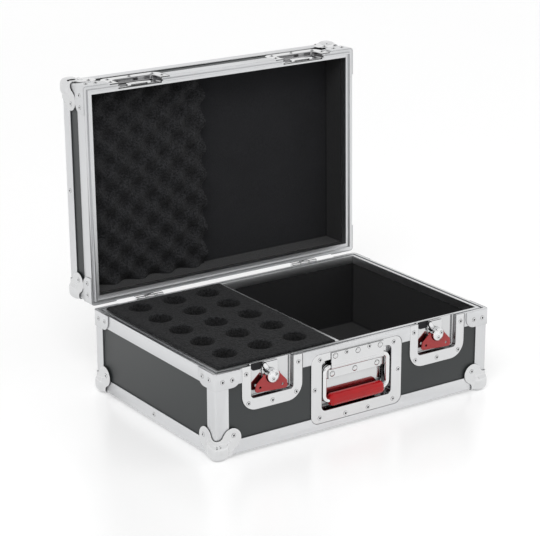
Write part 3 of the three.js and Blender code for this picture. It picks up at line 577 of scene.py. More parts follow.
def levelled(distance, low, high, step):
    """A closed quad mesh where distance(points) is zero, by surface nets, its points drawn onto it."""
    line = np.arange(low - step * 1.5, high + step * 2.5, step)
    grid = np.stack(np.meshgrid(line, line, line, indexing="ij"), -1)
    field = distance(grid.reshape(-1, 3)).reshape(grid.shape[:3])
    count = len(line) - 1
    unit = np.eye(3, dtype=int)
    total = np.zeros((count, count, count, 3))
    crossings = np.zeros((count,) * 3)
    corners = [(a, b, c) for a in (0, 1) for b in (0, 1) for c in (0, 1)]
    at = {k: tuple(slice(d, d + count) for d in k) for k in corners}
    for near in corners:
        for axis in range(3):
            if near[axis]:
                continue
            far = tuple(near + unit[axis])
            f0, f1 = field[at[near]], field[at[far]]
            crosses = (f0 < 0) != (f1 < 0)
            share = np.where(crosses, f0 / np.where(crosses, f0 - f1, 1), 0)
            for k in range(3):
                total[..., k] += share if k == axis else crosses * near[k]
            crossings += crosses
    used = crossings > 0
    index = np.full((count,) * 3, -1)
    index[used] = np.arange(used.sum())
    points = line[0] + (np.argwhere(used) + total[used] / crossings[used][:, None]) * step
    nudge = step * PULL_NUDGE
    for _ in range(PULLS):
        value = distance(points)
        slope = np.stack([distance(points + nudge * e) - distance(points - nudge * e) for e in unit], -1)
        slope /= 2 * nudge
        size = np.maximum((slope ** 2).sum(-1), LEAST_SLOPE)
        points = points - np.clip(value / size, -step, step)[:, None] * slope * PULL_SHARE
    faces = []
    inside = field < 0
    for axis in range(3):
        u, v = (axis + 1) % 3, (axis + 2) % 3
        first = inside[tuple(slice(0 if k == axis else 1, count) for k in range(3))]
        second = inside[tuple(slice(1, count + (k == axis)) for k in range(3))]
        crossed = np.argwhere(first != second)
        quads = [index[tuple((crossed + du * unit[u] + dv * unit[v]).T)]
                 for du, dv in ((0, 0), (1, 0), (1, 1), (0, 1))]
        faces.extend(map(tuple, np.stack(quads, -1).tolist()))
    return Shape([tuple(p) for p in points], faces)


def smooth_min(a, b, blend):
    h = np.maximum(blend - np.abs(a - b), 0) / blend
    return np.minimum(a, b) - h * h * blend / 4


def smooth_max(a, b, blend):
    return -smooth_min(-a, -b, blend)


def cube_distance(p, centre, half, radius):
    q = np.abs(p - centre) - (half - radius)
    return np.linalg.norm(np.maximum(q, 0), axis=-1) + np.minimum(q.max(-1), 0) - radius


def rod_distance(p, start, end, radius):
    along = end - start
    t = np.clip(((p - start) @ along) / (along @ along), 0, 1)
    return np.linalg.norm(p - start - t[:, None] * along, axis=-1) - radius


# Stamped ball corners with their rivets
BALL_RADIUS = 15.4
BALL_CENTRE = 10
BALL_POWER = 3
FOOT_LEVEL = -5
LOBE_RADIUS = 17.5
LOBE_CENTRE = 28.5
LOBE_WRAP = 30
LOBE_RIVET = (34, 31.5)
LOBE_BLEND = 7
RIM_BLEND = 0.9
BALL_BLEND = 1.0
RIB_REACH = (15.0, 24.5)
RIB_RADIUS = 1.5
RIB_SINK = 0.5
RIB_BLEND = 1.4
FOOT_BLEND = 0.6
FAR_IN = 200
CORNER_STEP = 0.9
CORNER_GRID = (-5.6, 46.5)


def corner_distance(p, stands):
    """The stamping over a corner: three ribbed lobes, the ball and, where it stands, a flat foot."""
    outer_round = ANGLE_ROUND + STAMPED_FACE
    inner_round = ANGLE_ROUND + SEAT_GAP
    outer = cube_distance(p, FAR_IN - STAMPED_FACE, FAR_IN, outer_round)
    inner = cube_distance(p, FAR_IN - SEAT_GAP, FAR_IN, inner_round)
    lobes = np.full(len(p), 1e3)
    for axis in range(3):
        u, v = p[:, (axis + 1) % 3], p[:, (axis + 2) % 3]
        disc = np.hypot(u - LOBE_CENTRE, v - LOBE_CENTRE) - LOBE_RADIUS
        square = np.maximum(u, v) - LOBE_WRAP
        near = p[:, axis] - outer_round
        lobes = np.minimum(lobes, np.maximum(smooth_min(disc, square, LOBE_BLEND), near))
    plates = smooth_max(np.maximum(outer, -inner), lobes, RIM_BLEND)
    ball = (np.abs(p - BALL_CENTRE) ** BALL_POWER).sum(-1) ** (1 / BALL_POWER) - BALL_RADIUS
    whole = smooth_min(plates, np.maximum(ball, -inner), BALL_BLEND)
    for axis in range(3):
        start, end = (np.full(3, reach) for reach in RIB_REACH)
        start[axis] = end[axis] = RIB_SINK - STAMPED_FACE
        whole = smooth_min(whole, np.maximum(rod_distance(p, start, end, RIB_RADIUS), -inner), RIB_BLEND)
    if stands:
        whole = smooth_max(whole, FOOT_LEVEL - p[:, 2], FOOT_BLEND)
    return whole


def ball_corners():
    for name, plate, up in (("base", 0, 1), ("lid", LID_TOP, -1)):
        corner = levelled(lambda p: corner_distance(p, name == "base"), *CORNER_GRID, CORNER_STEP)
        for axis in range(3):
            place, normal = [0, 0, 0], [0, 0, 0]
            place[(axis + 1) % 3], place[(axis + 2) % 3] = LOBE_RIVET if axis != 2 else LOBE_RIVET[::-1]
            place[axis] = -STAMPED_FACE
            normal[axis] = -1
            rivet(corner, place, normal)
        for depth_side, depth_sign in (("front", -1), ("back", 1)):
            for side, sign in SIDES:
                made = Shape().merge(corner, lambda p: (sign * (HALF_WIDTH - p[0]),
                                                        depth_sign * (HALF_DEPTH - p[1]), plate + up * p[2]))
                piece(f"{name}_ball_{depth_side}_{side}", made, [CORNER, DARK_STEEL_AND_PAINTED_SHADE], name,
                      (f"{name}_ball_corner_{depth_side}_{side}",))


# Foam
EDGE_STEPS = 16
SKIN_SHARES = (1, 0.985, 0.96, 0.93, 0.88, 0.82, 0.74, 0.6, 0.4, 0.2, 0)
LIP_STEPS = 4
WALL_DEPTHS = (12, 24, 40, 60, 80, HOLE_DEPTH)
EGG_STEPS = (120, 170)
FOAM_SIDES = (-HALF_WIDTH + RIM_WIDTH + SEAT_GAP, DIVIDER_LEFT - SEAT_GAP,
              -HALF_DEPTH + FOAM_FRONT_INSET, HALF_DEPTH - RIM_WIDTH - SEAT_GAP)


def wobble(x, y, z, scale, amount):
    return noise.noise(Vector((x, y, z)) * scale) * amount


def foam_level(x, y):
    """The skin of the block: a little higher towards the back, uneven, and rounded down at its edges."""
    x0, x1, y0, y1 = FOAM_SIDES
    share = (y - y0) / (y1 - y0)
    reach = max(min(x - x0, x1 - x, y - y0, y1 - y), 0)
    rounding = FOAM_EDGE - math.sqrt(FOAM_EDGE ** 2 - max(FOAM_EDGE - reach, 0) ** 2)
    return FOAM_TOP + FOAM_RISE * share + wobble(x, y, 0, 0.03, 0.3) - rounding


def microphone_foam():
    x0, x1, y0, y1 = FOAM_SIDES
    floor = PANEL_INNER + SEAT_GAP
    columns, rows = HOLE_COUNT
    pitch_x, pitch_y = HOLE_PITCH
    shape = Shape()
    for column in range(columns):
        for row in range(rows):
            cx, cy = HOLE_START[0] + column * pitch_x, HOLE_START[1] + row * pitch_y
            left = x0 if column == 0 else cx - pitch_x / 2
            right = x1 if column == columns - 1 else cx + pitch_x / 2
            near = y0 if row == 0 else cy - pitch_y / 2
            far = y1 if row == rows - 1 else cy + pitch_y / 2
            corners = ((right, near), (right, far), (left, far), (left, near))
            edge = []
            for (ax, ay), (bx, by) in zip(corners, corners[1:] + corners[:1]):
                edge += [(ax + (bx - ax) * i / EDGE_STEPS, ay + (by - ay) * i / EDGE_STEPS)
                         for i in range(EDGE_STEPS)]
            turns = [a - math.pi / 4 for a in around(len(edge))]
            lip = HOLE_RADIUS + HOLE_LIP
            loops = []
            for share in SKIN_SHARES:
                loop = []
                for (ex, ey), a in zip(edge, turns):
                    rx, ry = cx + lip * math.cos(a), cy + lip * math.sin(a)
                    x, y = rx + (ex - rx) * share, ry + (ey - ry) * share
                    loop.append((x, y, foam_level(x, y)))
                loops.append(loop)
            top = foam_level(cx, cy)
            for c, s in quarter_bend(LIP_STEPS)[1:]:
                r, z = HOLE_RADIUS + HOLE_LIP * s, top - HOLE_LIP * c
                loops.append([(cx + r * math.cos(a), cy + r * math.sin(a), z) for a in turns])
            shape.loft(loops)
            walls = loops[-1:]
            for depth in WALL_DEPTHS:
                radii = [HOLE_RADIUS + wobble(cx, depth, a, 0.9, 0.35) for a in turns]
                walls.append([(cx + r * math.cos(a), cy + r * math.sin(a), FOAM_TOP - depth)
                              for r, a in zip(radii, turns)])
            shape.loft(walls, last_cap=True, kind=1)
            bottom = [(x, y, floor) for x, y in edge]
            shape.loft([bottom], first_cap=True)
            rim = [(x, y, foam_level(x, y)) for x, y in edge]
            for start, outer in enumerate((column == columns - 1, row == rows - 1, column == 0, row == 0)):
                if outer:
                    picks = [(start * EDGE_STEPS + i) % len(edge) for i in range(EDGE_STEPS + 1)]
                    shape.loft([[rim[i] for i in picks], [bottom[i] for i in picks]], closed=False)
    made = piece("microphone_foam", shape, [FOAM, CUT_FOAM], "base", ("mic_foam_block",), smooth=35)


def egg_crate_foam():
    wall = LINING_FACE + SEAT_GAP
    back = LID_TOP - wall
    x0 = wall - HALF_WIDTH
    half_y = HALF_DEPTH - wall
    columns, rows = EGG_STEPS
    swing = (EGG_THICKNESS - EGG_VALLEY) / 2
    free, flat = [], []
    for i in range(columns + 1):
        x = x0 + (EGG_END - x0) * i / columns
        for j in range(rows + 1):
            y = -half_y + 2 * half_y * j / rows
            hump = math.cos(2 * math.pi * (x - EGG_END) / EGG_PITCH[0])
            hump *= math.cos(2 * math.pi * (y + half_y - EGG_LEAD) / EGG_PITCH[1])
            wave = hump + wobble(x, y, 1, 0.05, 0.10) + wobble(x, y, 7, 0.25, 0.04)
            free.append((x, y, back - EGG_VALLEY - swing * (1 + max(min(wave, 1), -1))))
            flat.append((x, y, back))
    width = rows + 1
    shape = Shape(free, [(i * width + j + 1, (i + 1) * width + j + 1, (i + 1) * width + j, i * width + j)
                         for i in range(columns) for j in range(rows)])
    border = list(range(rows + 1))
    border += [i * width + rows for i in range(1, columns + 1)]
    border += [columns * width + j for j in range(rows - 1, -1, -1)]
    border += [i * width for i in range(columns - 1, 0, -1)]
    shape.loft([[free[k] for k in border], [flat[k] for k in border]], last_cap=True)
    # The lid's foam in its copy painted lighter
    made = piece("lid_egg_crate_foam", shape, [LID_FOAM_PAINTED_LIGHTER], "lid", ("lid_convoluted_foam",),
                 smooth=60)


# Felt linings: trays with radiused corners, the base's with a bulge round the handle dish
LINING_ROUND = 4
LINING_STEPS = 6
FOOT_STEPS = 4
LEAST_ROUND = 0.4
BULGE_RIGHT = 71.1
BULGE_BOTTOM = 30.9
BULGE_TOP = 119.1
BULGE_DEPTH = 16.4
BULGE_RAMP = 2


def tray(x0, x1, half_y, closed, levels, bulges):
    """The visible inner skin of a lined half, from its open edge down to the closed end."""
    inward = 1 if levels[0] > closed else -1

    def loop_at(inset, radius, z):
        loop = rounded(x0 + inset, x1 - inset, -half_y + inset, half_y - inset, radius, radius, LINING_STEPS)
        if not bulges:
            return [(x, y, z) for x, y in loop]
        front = [(x, -half_y + inset) for x in (BULGE_RIGHT, BULGE_RIGHT + BULGE_RAMP)]
        loop = loop[:LINING_STEPS + 1] + front + loop[LINING_STEPS + 1:]
        floor = BULGE_DEPTH - HALF_DEPTH if BULGE_BOTTOM <= z <= BULGE_TOP else -HALF_DEPTH
        return [(x, max(y, floor) if x <= BULGE_RIGHT else y, z) for x, y in loop]

    loops = [loop_at(0, LINING_ROUND, z) for z in levels]
    for c, s in quarter_bend(FOOT_STEPS):
        inset = LINING_ROUND * c
        level = closed + inward * LINING_ROUND * s
        loops.append(loop_at(inset, max(LINING_ROUND - inset, LEAST_ROUND), level))
    return Shape().loft(loops).loft(loops[-1:], last_cap=True, kind=1)


def linings():
    end = HALF_WIDTH - LINING_FACE
    half_y = HALF_DEPTH - LINING_FACE
    levels = (BASE_HEIGHT - RIM_INNER_LEG - SEAT_GAP, BULGE_TOP + BULGE_RAMP, BULGE_TOP, BULGE_BOTTOM,
              BULGE_BOTTOM - BULGE_RAMP)
    base = tray(DIVIDER_RIGHT + SEAT_GAP + LINING_THICKNESS, end, half_y, LINING_FACE, levels, True)
    # The compartment's felt is the copy painted darkest
    piece("compartment_lining", base, [FELT_PAINTED_DARKEST, FELT_PAINTED_DARKEST], "base", ("base_lining",),
          thickness=LINING_SKIN)
    lid = tray(-end, end, half_y, LID_TOP - LINING_FACE, (LID_PARTING + RIM_INNER_LEG + SEAT_GAP,), False)
    piece("lid_felt_lining", lid, [LID_WALL_FELT_PAINTED_LIGHTER, LID_END_FELT_PAINTED_LIGHTEST], "lid", ("lid_lining",),
          thickness=LINING_SKIN)


# Latches
def growing_cup(x, width, bottom, top, corner):
    half = width / 2
    return lambda grow: cup(x - half - grow, x + half + grow, bottom - grow, top, corner + grow)


def latch_dish(side, x):
    plate, recess = (growing_cup(x, width, bottom, BASE_HEIGHT, corner)
                     for width, bottom, corner in (LATCH_PLATE, LATCH_RECESS))
    dish(f"latch_plate_{side}", "base", f"latch_dish_{side}", pressed(plate, recess, LATCH_DEPTH))


def keeper_dish(side, x):
    """Drawn below the parting like a latch dish, then turned half round to open downwards."""
    def turned(width, height, corner):
        outline = growing_cup(x, width, LID_PARTING - height, LID_PARTING, corner)
        return lambda grow: [(2 * x - px, 2 * LID_PARTING - pz) for px, pz in outline(grow)]

    rows = pressed(turned(*KEEPER_PLATE), turned(*KEEPER_RECESS), LATCH_DEPTH)
    dish(f"keeper_plate_{side}", "lid", f"keeper_dish_{side}", rows)


KEEPER_STRAP = (44, 6, 3, 2.2)
SUNK = 0.2


def keeper_strap(side, x):
    width, height, rise, thickness = KEEPER_STRAP
    front = DRAWBAR_FRONT - SEAT_GAP - thickness
    back = LATCH_DEPTH + SUNK
    bend = thickness * 0.8
    inner = DRAWBAR[0] / 2 + SEAT_GAP * 2
    path = [(-width / 2, back), (-width / 2, front + bend)]
    path += arc_points(-width / 2 + bend, front + bend, bend, math.pi, 1.5 * math.pi, 5)[1:]
    path += [(-px, depth) for px, depth in reversed(path)]
    path += [(inner, back), (inner, front + thickness), (-inner, front + thickness), (-inner, back)]
    low = LID_PARTING + rise
    loops = [[(x + px, depth - HALF_DEPTH, z) for px, depth in path] for z in (low, low + height)]
    shape = Shape().loft(loops, first_cap=True, last_cap=True)
    piece(f"keeper_strap_{side}", shape, [CHROME], "lid", bevel=0.5, smooth=40)


WING_HALF = 30.3
WING_DROP = 25
WING_CORNER = 4.5
WING_SHOULDER = (29, 12)
WING_HORN = (15.5, 0.9)
WING_DEPTH = (1.2, 3.4)
WING_CLEARANCE = 1.2
EAR_CLEARANCE = 0.2
WING_EDGE = 0.55
WING_TILT = math.radians(-3.5)
WING_HOLE = (2.3, 42, 18)
WING_PIN = (4.4, 1.5, 2.6)
HORN_TIP = (1.9, 0.4, 1.6)
SHOULDER_ROUND = (3, 1.5)
PIN_ROUND = 0.4
PIN_SIDES = 20


def pin_profile(tip, radius, length):
    return ((0, 0), (tip, 0), (radius, PIN_ROUND), (radius, length - PIN_ROUND), (tip, length), (0, length))


def latch_wing(side, x):
    horn_half, horn_rise = WING_HORN
    tip_in, tip_fall, tip_round = HORN_TIP
    shoulder, shoulder_drop = WING_SHOULDER
    bend, fall = SHOULDER_ROUND
    inner = BOSS_RADIUS + WING_CLEARANCE
    horn_angle = math.asin(horn_rise / inner)
    right = arc_points(horn_half - tip_in, horn_rise - tip_fall, tip_round, math.pi * 0.55, math.pi * 0.15, 5)
    right += arc_points(shoulder - bend, -shoulder_drop - fall, bend, QUARTER / 2, 0, 5)
    right += arc_points(WING_HALF - WING_CORNER, WING_CORNER - WING_DROP, WING_CORNER, 0, -QUARTER, 8)
    outline = arc_points(0, 0, inner, math.pi - horn_angle, 2 * math.pi + horn_angle, 28)
    outline += right + [(-px, pz) for px, pz in reversed(right)]
    hole_radius, spacing, hole_drop = WING_HOLE
    holes = [arc_points(sign * spacing / 2, -hole_drop, hole_radius, 0, 2 * math.pi, CIRCLE_SIDES)[:-1]
             for _, sign in SIDES]
    flat = plate_with(outline, holes, *WING_DEPTH, WING_EDGE)
    c, s = math.cos(WING_TILT), math.sin(WING_TILT)
    shape = Shape().merge(flat, lambda p: (x + p[0] * c - p[2] * s, p[1], BOSS_HEIGHT + p[0] * s + p[2] * c))
    depth, _, ear = WING_PIN
    length = horn_half - SEAT_GAP - inner - EAR_CLEARANCE
    for _, sign in SIDES:
        start = (x + sign * (inner + EAR_CLEARANCE), depth - HALF_DEPTH, BOSS_HEIGHT)
        revolve(shape, pin_profile(ear - PIN_ROUND, ear, length), start, (sign, 0, 0), PIN_SIDES)
    piece(f"butterfly_wing_{side}", shape, [RED_COATING], f"latch_wing_{side}",
          (f"latch_wing_{side}",))


BOSS_FACE = ((0, 0.5), (5.6, 0.5), (6.4, 0.15), (7.6, 0.0), (8.5, -0.25), (9.0, -0.8), (BOSS_RADIUS, -1.5))
BOSS_SIDES = 48
BOSS_RIVETS = ((-1.4, -4.4), (4.2, 3.0))
BOSS_RIVET_LIFT = 0.45
BOSS_RIVET_SIZE = 0.8
CAM_RADIUS = 5
CAM_PROUD = 0.4
CAM_PROFILE = ((0, 0), (CAM_RADIUS, 0), (CAM_RADIUS, 3.4), (4.4, 3.9), (0, 3.9))
LINK_END = (-11.5, 18)
# The link's chrome plate, and a wider dark steel plate behind it whose edges show as painted shade lines
# either side
LINK_PLATES = ((3.2, 4.2, 6.4), (4.2, 6.4, 7.0))


def at_boss(x):
    """Moves what is drawn about the latch's axis to its place on the front."""
    return lambda p: (p[0] + x, p[1], p[2] + BOSS_HEIGHT)


def latch_boss(side, x):
    shape = Shape()
    back = DRAWBAR_FRONT - SEAT_GAP - BOSS_FRONT
    face = BOSS_FRONT - HALF_DEPTH
    profile = (*BOSS_FACE, (BOSS_RADIUS, -back), (0, -back))
    revolve(shape, profile, (x, face, BOSS_HEIGHT), (0, -1, 0), BOSS_SIDES)
    for dx, dz in BOSS_RIVETS:
        rivet(shape, (x + dx, face - BOSS_RIVET_LIFT, BOSS_HEIGHT + dz), (0, -1, 0), BOSS_RIVET_SIZE)
    depth, pin, _ = WING_PIN
    half = WING_HORN[0]
    start = (x - half, depth - HALF_DEPTH, BOSS_HEIGHT)
    revolve(shape, pin_profile(pin * 0.7, pin, half * 2), start, (1, 0, 0), PIN_SIDES)
    start = (x, DRAWBAR_FRONT - CAM_PROUD - HALF_DEPTH, BOSS_HEIGHT)
    revolve(shape, CAM_PROFILE, start, (0, 1, 0), CIRCLE_SIDES)
    dx, dz = LINK_END
    angle = math.atan2(dz, dx)
    # The second plate, in dark steel, is painted shade
    for kind, (half, outer, inner) in enumerate(LINK_PLATES):
        loop = arc_points(dx, dz, half, angle - QUARTER, angle + QUARTER, 10)
        loop += arc_points(0, 0, half, angle + QUARTER, angle + 3 * QUARTER, 10)
        shape.merge(plate_with(loop, [], outer, inner, 0.25), at_boss(x), kind)
    piece(f"latch_boss_{side}", shape, [CHROME, DARK_STEEL_AND_PAINTED_SHADE], f"latch_rotor_{side}",
          (f"latch_rotor_{side}",), smooth=45)


SPRING_LEAF = (-34.5, -13, 11.5, 23.5, 6)


def return_spring(side, x):
    left, right, bottom, top, corner = SPRING_LEAF
    outline = rounded(left, right, bottom, top, corner, 1.5)
    leaf = plate_with(outline, [], LATCH_DEPTH - 0.9, LATCH_DEPTH - 0.05, 0.3)
    shape = Shape().merge(leaf, at_boss(x))
    piece(f"return_spring_{side}", shape, [DARK_STEEL_AND_PAINTED_SHADE], "base")


DRAWBAR = (30, 1.2, 23, 20, 10, 5)
# Inset and drop of the dark line painted as shade across the drawbar's top
SHADE_LINE_INSET = 2
SHADE_LINE_DROP = (2.2, 1.2)


def latch_drawbar(side, x):
    width, thickness, rise, drop, travel, corner = DRAWBAR
    slot = CAM_RADIUS + SEAT_GAP
    outline = rounded(-width / 2, width / 2, -drop, rise, corner, corner)
    hole = rounded(-slot, slot, -slot - travel, slot, slot - 0.01, slot - 0.01)
    flat = plate_with(outline, [hole], DRAWBAR_FRONT, DRAWBAR_FRONT + thickness, 0.35)
    shape = Shape().merge(flat, at_boss(x))
    # A nearly flush dark steel strip near the top: a painted shade line
    half = width / 2 - SHADE_LINE_INSET
    low, high = (rise - drop for drop in SHADE_LINE_DROP)
    shade_line = rounded(-half, half, low, high, 0.4, 0.4, 3)
    shape.merge(plate_with(shade_line, [], DRAWBAR_FRONT - 0.05, DRAWBAR_FRONT + 0.3, 0.05), at_boss(x), 1)
    piece(f"drawbar_{side}", shape, [NICKEL, DARK_STEEL_AND_PAINTED_SHADE], f"latch_hook_{side}",
          (f"latch_hook_{side}",))


# Handle
STEP_BEND = 2.5
STEP_FOOT = ((SUNK, -3.0), (-0.6, -1.6))
BEND_PARTS = 6
CLAMP_COLUMNS = 14
CLAMP_STEPS = 20
BAIL_SIDES = 24
BAIL_BEND_STEPS = 8
GRIP_STATIONS = (0.15, 0.35, 0.5)


def growing_panel(width, bottom, top, corner):
    def outline(grow):
        half, r = width / 2 + grow, corner + grow
        return rounded(-half, half, bottom - grow, top + grow, r, r)

    return outline


def handle_dish():
    rows = pressed(growing_panel(*HANDLE_PLATE), growing_panel(*HANDLE_RECESS), HANDLE_DEPTH)
    dish("handle_plate", "base", "handle_dish", rows, closed=True)
    width, _, top, _ = HANDLE_RECESS
    half = width / 2 + 0.3
    profile = [(HANDLE_DEPTH + dy, LEDGE_BOTTOM + dz) for dy, dz in STEP_FOOT]
    profile += [(LEDGE_DEPTH + STEP_BEND * s, LEDGE_BOTTOM + STEP_BEND * c)
                for c, s in quarter_bend(BEND_PARTS)]
    profile += [(LEDGE_DEPTH, top - 1), (HANDLE_DEPTH + SUNK, top - 0.6)]
    step = Shape().loft([across(profile, x) for x in (-half, half)], first_cap=True, last_cap=True)
    piece("handle_plate_step", step, [NICKEL], "base")


def clamp_plate():
    width, foot, top = CLAMP
    inner = BAIL_RADIUS + SEAT_GAP
    back = PLATE_FRONT - SEAT_GAP
    ledge = LEDGE_DEPTH - SEAT_GAP
    start = math.asin((BAIL_DEPTH - back) / inner)
    end = math.pi + math.asin((ledge - BAIL_DEPTH) / inner)
    line = [(back, top), (back, BAIL_HEIGHT + inner * math.cos(start) + 3)]
    line += [(BAIL_DEPTH - inner * math.sin(a), BAIL_HEIGHT + inner * math.cos(a))
             for a in swept(start, end, CLAMP_STEPS)]
    line += [(ledge, foot)]
    rows = [across(line, x) for x in swept(-width / 2, width / 2, CLAMP_COLUMNS)]
    shape = Shape().loft(rows, closed=False)
    piece("handle_clamp", shape, [NICKEL], "base", ("handle_clamp_plate",),
          thickness=-STAMPED_WALL, bevel=0.35)


def bail():
    half_x, half_z = BAIL_WIDTH / 2 - BAIL_BEND, BAIL_DROP / 2 - BAIL_BEND
    ring = [(BAIL_RADIUS * math.cos(t), BAIL_RADIUS * math.sin(t)) for t in around(BAIL_SIDES)]
    loops = []
    for start, (sx, sz) in enumerate(((1, 1), (-1, 1), (-1, -1), (1, -1))):
        for a in swept(start * QUARTER, (start + 1) * QUARTER, BAIL_BEND_STEPS):
            out = Vector((math.cos(a), 0, math.sin(a)))
            centre = Vector((sx * half_x, BAIL_DEPTH - HALF_DEPTH, BAIL_HEIGHT - BAIL_DROP / 2 + sz * half_z))
            centre += out * BAIL_BEND
            loops.append([tuple(centre + out * u + Vector((0, v, 0))) for u, v in ring])
    shape = Shape().loft(loops + loops[:1])
    piece("handle_bar", shape, [CHROME], "handle", ("handle_bail",), smooth=60)


def grip():
    length, height, thickness, corner = GRIP
    centre_z = BAIL_HEIGHT - BAIL_DROP
    stations = [(-length / 2 + GRIP_END_ROUND * c, GRIP_END_ROUND * s) for c, s in quarter_bend(BEND_PARTS)]
    stations += [(-length / 2 + length * share, 0) for share in GRIP_STATIONS]
    stations += [(-sx, inset) for sx, inset in reversed(stations[:-1])]
    loops = []
    for sx, inset in stations:
        half_t, half_h = thickness / 2 - inset, height / 2 - inset
        r = max(corner - inset, GRIP_LEAST_ROUND)
        loops.append([(sx, BAIL_DEPTH - HALF_DEPTH + u, centre_z + v)
                      for u, v in rounded(-half_t, half_t, -half_h, half_h, r, r)])
    shape = Shape().loft(loops, first_cap=True, last_cap=True)
    piece("handle_grip_sleeve", shape, [RED_GRIP], "handle", ("handle_grip",))


# Rivets on the plates, braces and extrusions
PLATE_FACE = PLATE_FRONT - HALF_DEPTH
BRACE_IN = (12, 30)
SIDE_BRACE_IN = (15, 35)
BRACE_DROP = 14.5
SIDE_BRACE_DROP = 12.6
ANGLE_DROP = 13
LATCH_RIVETS = ((-49, 128), (49, 128), (-45, 79), (45, 79), (0, 75))
KEEPER_RIVETS = ((-49, 153), (49, 153), (-43, 174), (43, 174), (0, 177))
HANDLE_RIVETS = ((73.5, 121.2), (73.3, 22.8), (83, 72), (22.5, 19.5))
CLAMP_RIVET = (22.6, 125.2)
CLAMP_DOMES = (-44.5, 0, 44.5)
CLAMP_DOME_HEIGHT = 123
LEDGE_DOME_HEIGHT = 89.8
HINGE_X = 161
HINGE_RIVETS = ((18, 14), (18, 26), (0, 26))


def half_rivets(half, parting, up):
    """The rivets of one half's braces, edge angles and hinges; up points from the parting into the half."""
    shape = Shape()
    end = 0 if up < 0 else LID_TOP
    wide, deep = HALF_WIDTH + STAMPED_FACE, HALF_DEPTH + STAMPED_FACE
    front_z, side_z = parting + up * BRACE_DROP, parting + up * SIDE_BRACE_DROP
    for _, sx in SIDES:
        for _, sy in SIDES:
            for inset in BRACE_IN:
                rivet(shape, (sx * (HALF_WIDTH - inset), sy * deep, front_z), (0, sy, 0))
            for inset in SIDE_BRACE_IN:
                rivet(shape, (sx * wide, sy * (HALF_DEPTH - inset), side_z), (sx, 0, 0))
        rivet(shape, (sx * HALF_WIDTH, 0, end - up * ANGLE_DROP), (sx, 0, 0))
        rivet(shape, (sx * HALF_WIDTH / 3, HALF_DEPTH, end - up * ANGLE_DROP), (0, 1, 0))
        for dx, drop in HINGE_RIVETS:
            for side in (-1, 1) if dx else (1,):
                rivet(shape, (sx * HINGE_X + side * dx, deep, parting + up * drop), (0, 1, 0))
    piece(f"{half}_rivets", shape, [NICKEL, DARK_STEEL_AND_PAINTED_SHADE], half, smooth=45)


def front_rivets():
    shape, keepers = Shape(), Shape()
    clamp_face = PLATE_FACE - SEAT_GAP - STAMPED_WALL
    ledge_face = LEDGE_DEPTH - SEAT_GAP - STAMPED_WALL - HALF_DEPTH
    forward = (0, -1, 0)
    for _, sign in SIDES:
        x = sign * LATCH_X
        for dx, z in LATCH_RIVETS:
            rivet(shape, (x + dx, PLATE_FACE, z), forward)
        for dx, z in KEEPER_RIVETS:
            rivet(keepers, (x + dx, PLATE_FACE, z), forward)
        for dx, z in HANDLE_RIVETS:
            rivet(shape, (sign * dx, PLATE_FACE, z), forward)
        rivet(shape, (sign * CLAMP_RIVET[0], clamp_face, CLAMP_RIVET[1]), forward)
    for x in CLAMP_DOMES:
        dome(shape, (x, clamp_face, CLAMP_DOME_HEIGHT), forward)
        dome(shape, (x, ledge_face, LEDGE_DOME_HEIGHT), forward)
    piece("front_rivets", shape, [NICKEL, DARK_STEEL_AND_PAINTED_SHADE], "base", smooth=45)
    piece("keeper_rivets", keepers, [NICKEL, DARK_STEEL_AND_PAINTED_SHADE], "lid", smooth=45)


# The CAD nodes that stay; the front panels keep only a thin skin behind the latches and keepers
FRONT_PANEL_EDGE = 0.3
PANEL_EDGE = 0.8
METAL_EDGE = 0.45
FRAME_BEVEL_ANGLE = 50
FLAT_ANGLE = 0.5


def frame_material(name):
    """Laminate, plated steel or aluminium, whose drawing lines follow the bar; the open lid stands up."""
    if "panel" in name:
        return LAMINATE
    if "hinge" in name:
        return NICKEL
    lid = name.startswith("lid")
    if "corner_angle" in name:
        return ALUMINIUM["y" if lid else "z"]
    if "angle" in name and name.endswith(("left", "right")):
        return ALUMINIUM["z" if lid else "y"]
    return ALUMINIUM["y" if "divider" in name else "x"]


def dress_frame():
    for name, obj in frame["nodes"].items():
        if obj.hide_render:
            continue
        obj.data.materials.clear()
        obj.data.materials.append(frame_material(name))
        weld = obj.modifiers.new("weld", "WELD")
        weld.merge_threshold = WELD_REACH
        flat = obj.modifiers.new("flat", "DECIMATE")
        flat.decimate_type = "DISSOLVE"
        flat.angle_limit = math.radians(FLAT_ANGLE)
        width = FRONT_PANEL_EDGE if "front_panel" in name else PANEL_EDGE if "panel" in name else METAL_EDGE
        bevelled(obj, width, 2, FRAME_BEVEL_ANGLE)
        obj.data.shade_smooth()


# Camera: its place, its turn in degrees and its focal length in pixels, fitted to the photo's edges
CAMERA_PLACE = (-1725.8, -2463.4, 1194.3)
CAMERA_TURN = (-34.35, 18.11, -0.16)
FOCAL_PIXELS = 1910.87
IMAGE_WIDTH = 540
SENSOR = 36


def camera():
    data = bpy.data.cameras.new("camera")
    data.sensor_width = SENSOR
    data.sensor_fit = "HORIZONTAL"
    data.lens = FOCAL_PIXELS * SENSOR / IMAGE_WIDTH
    data.clip_start = 0.1
    data.clip_end = 60
    made = linked("camera", data)
    azimuth, elevation, roll = (math.radians(a) for a in CAMERA_TURN)
    back = Vector((math.sin(azimuth) * math.cos(elevation), -math.cos(azimuth) * math.cos(elevation),
                   math.sin(elevation)))
    made.location = placed(CAMERA_PLACE)
    turn = (-back).to_track_quat("-Z", "Y").to_matrix() @ Matrix.Rotation(roll, 3, "Z")
    made.rotation_mode = "QUATERNION"
    made.rotation_quaternion = turn.to_quaternion()
    bpy.context.scene.camera = made


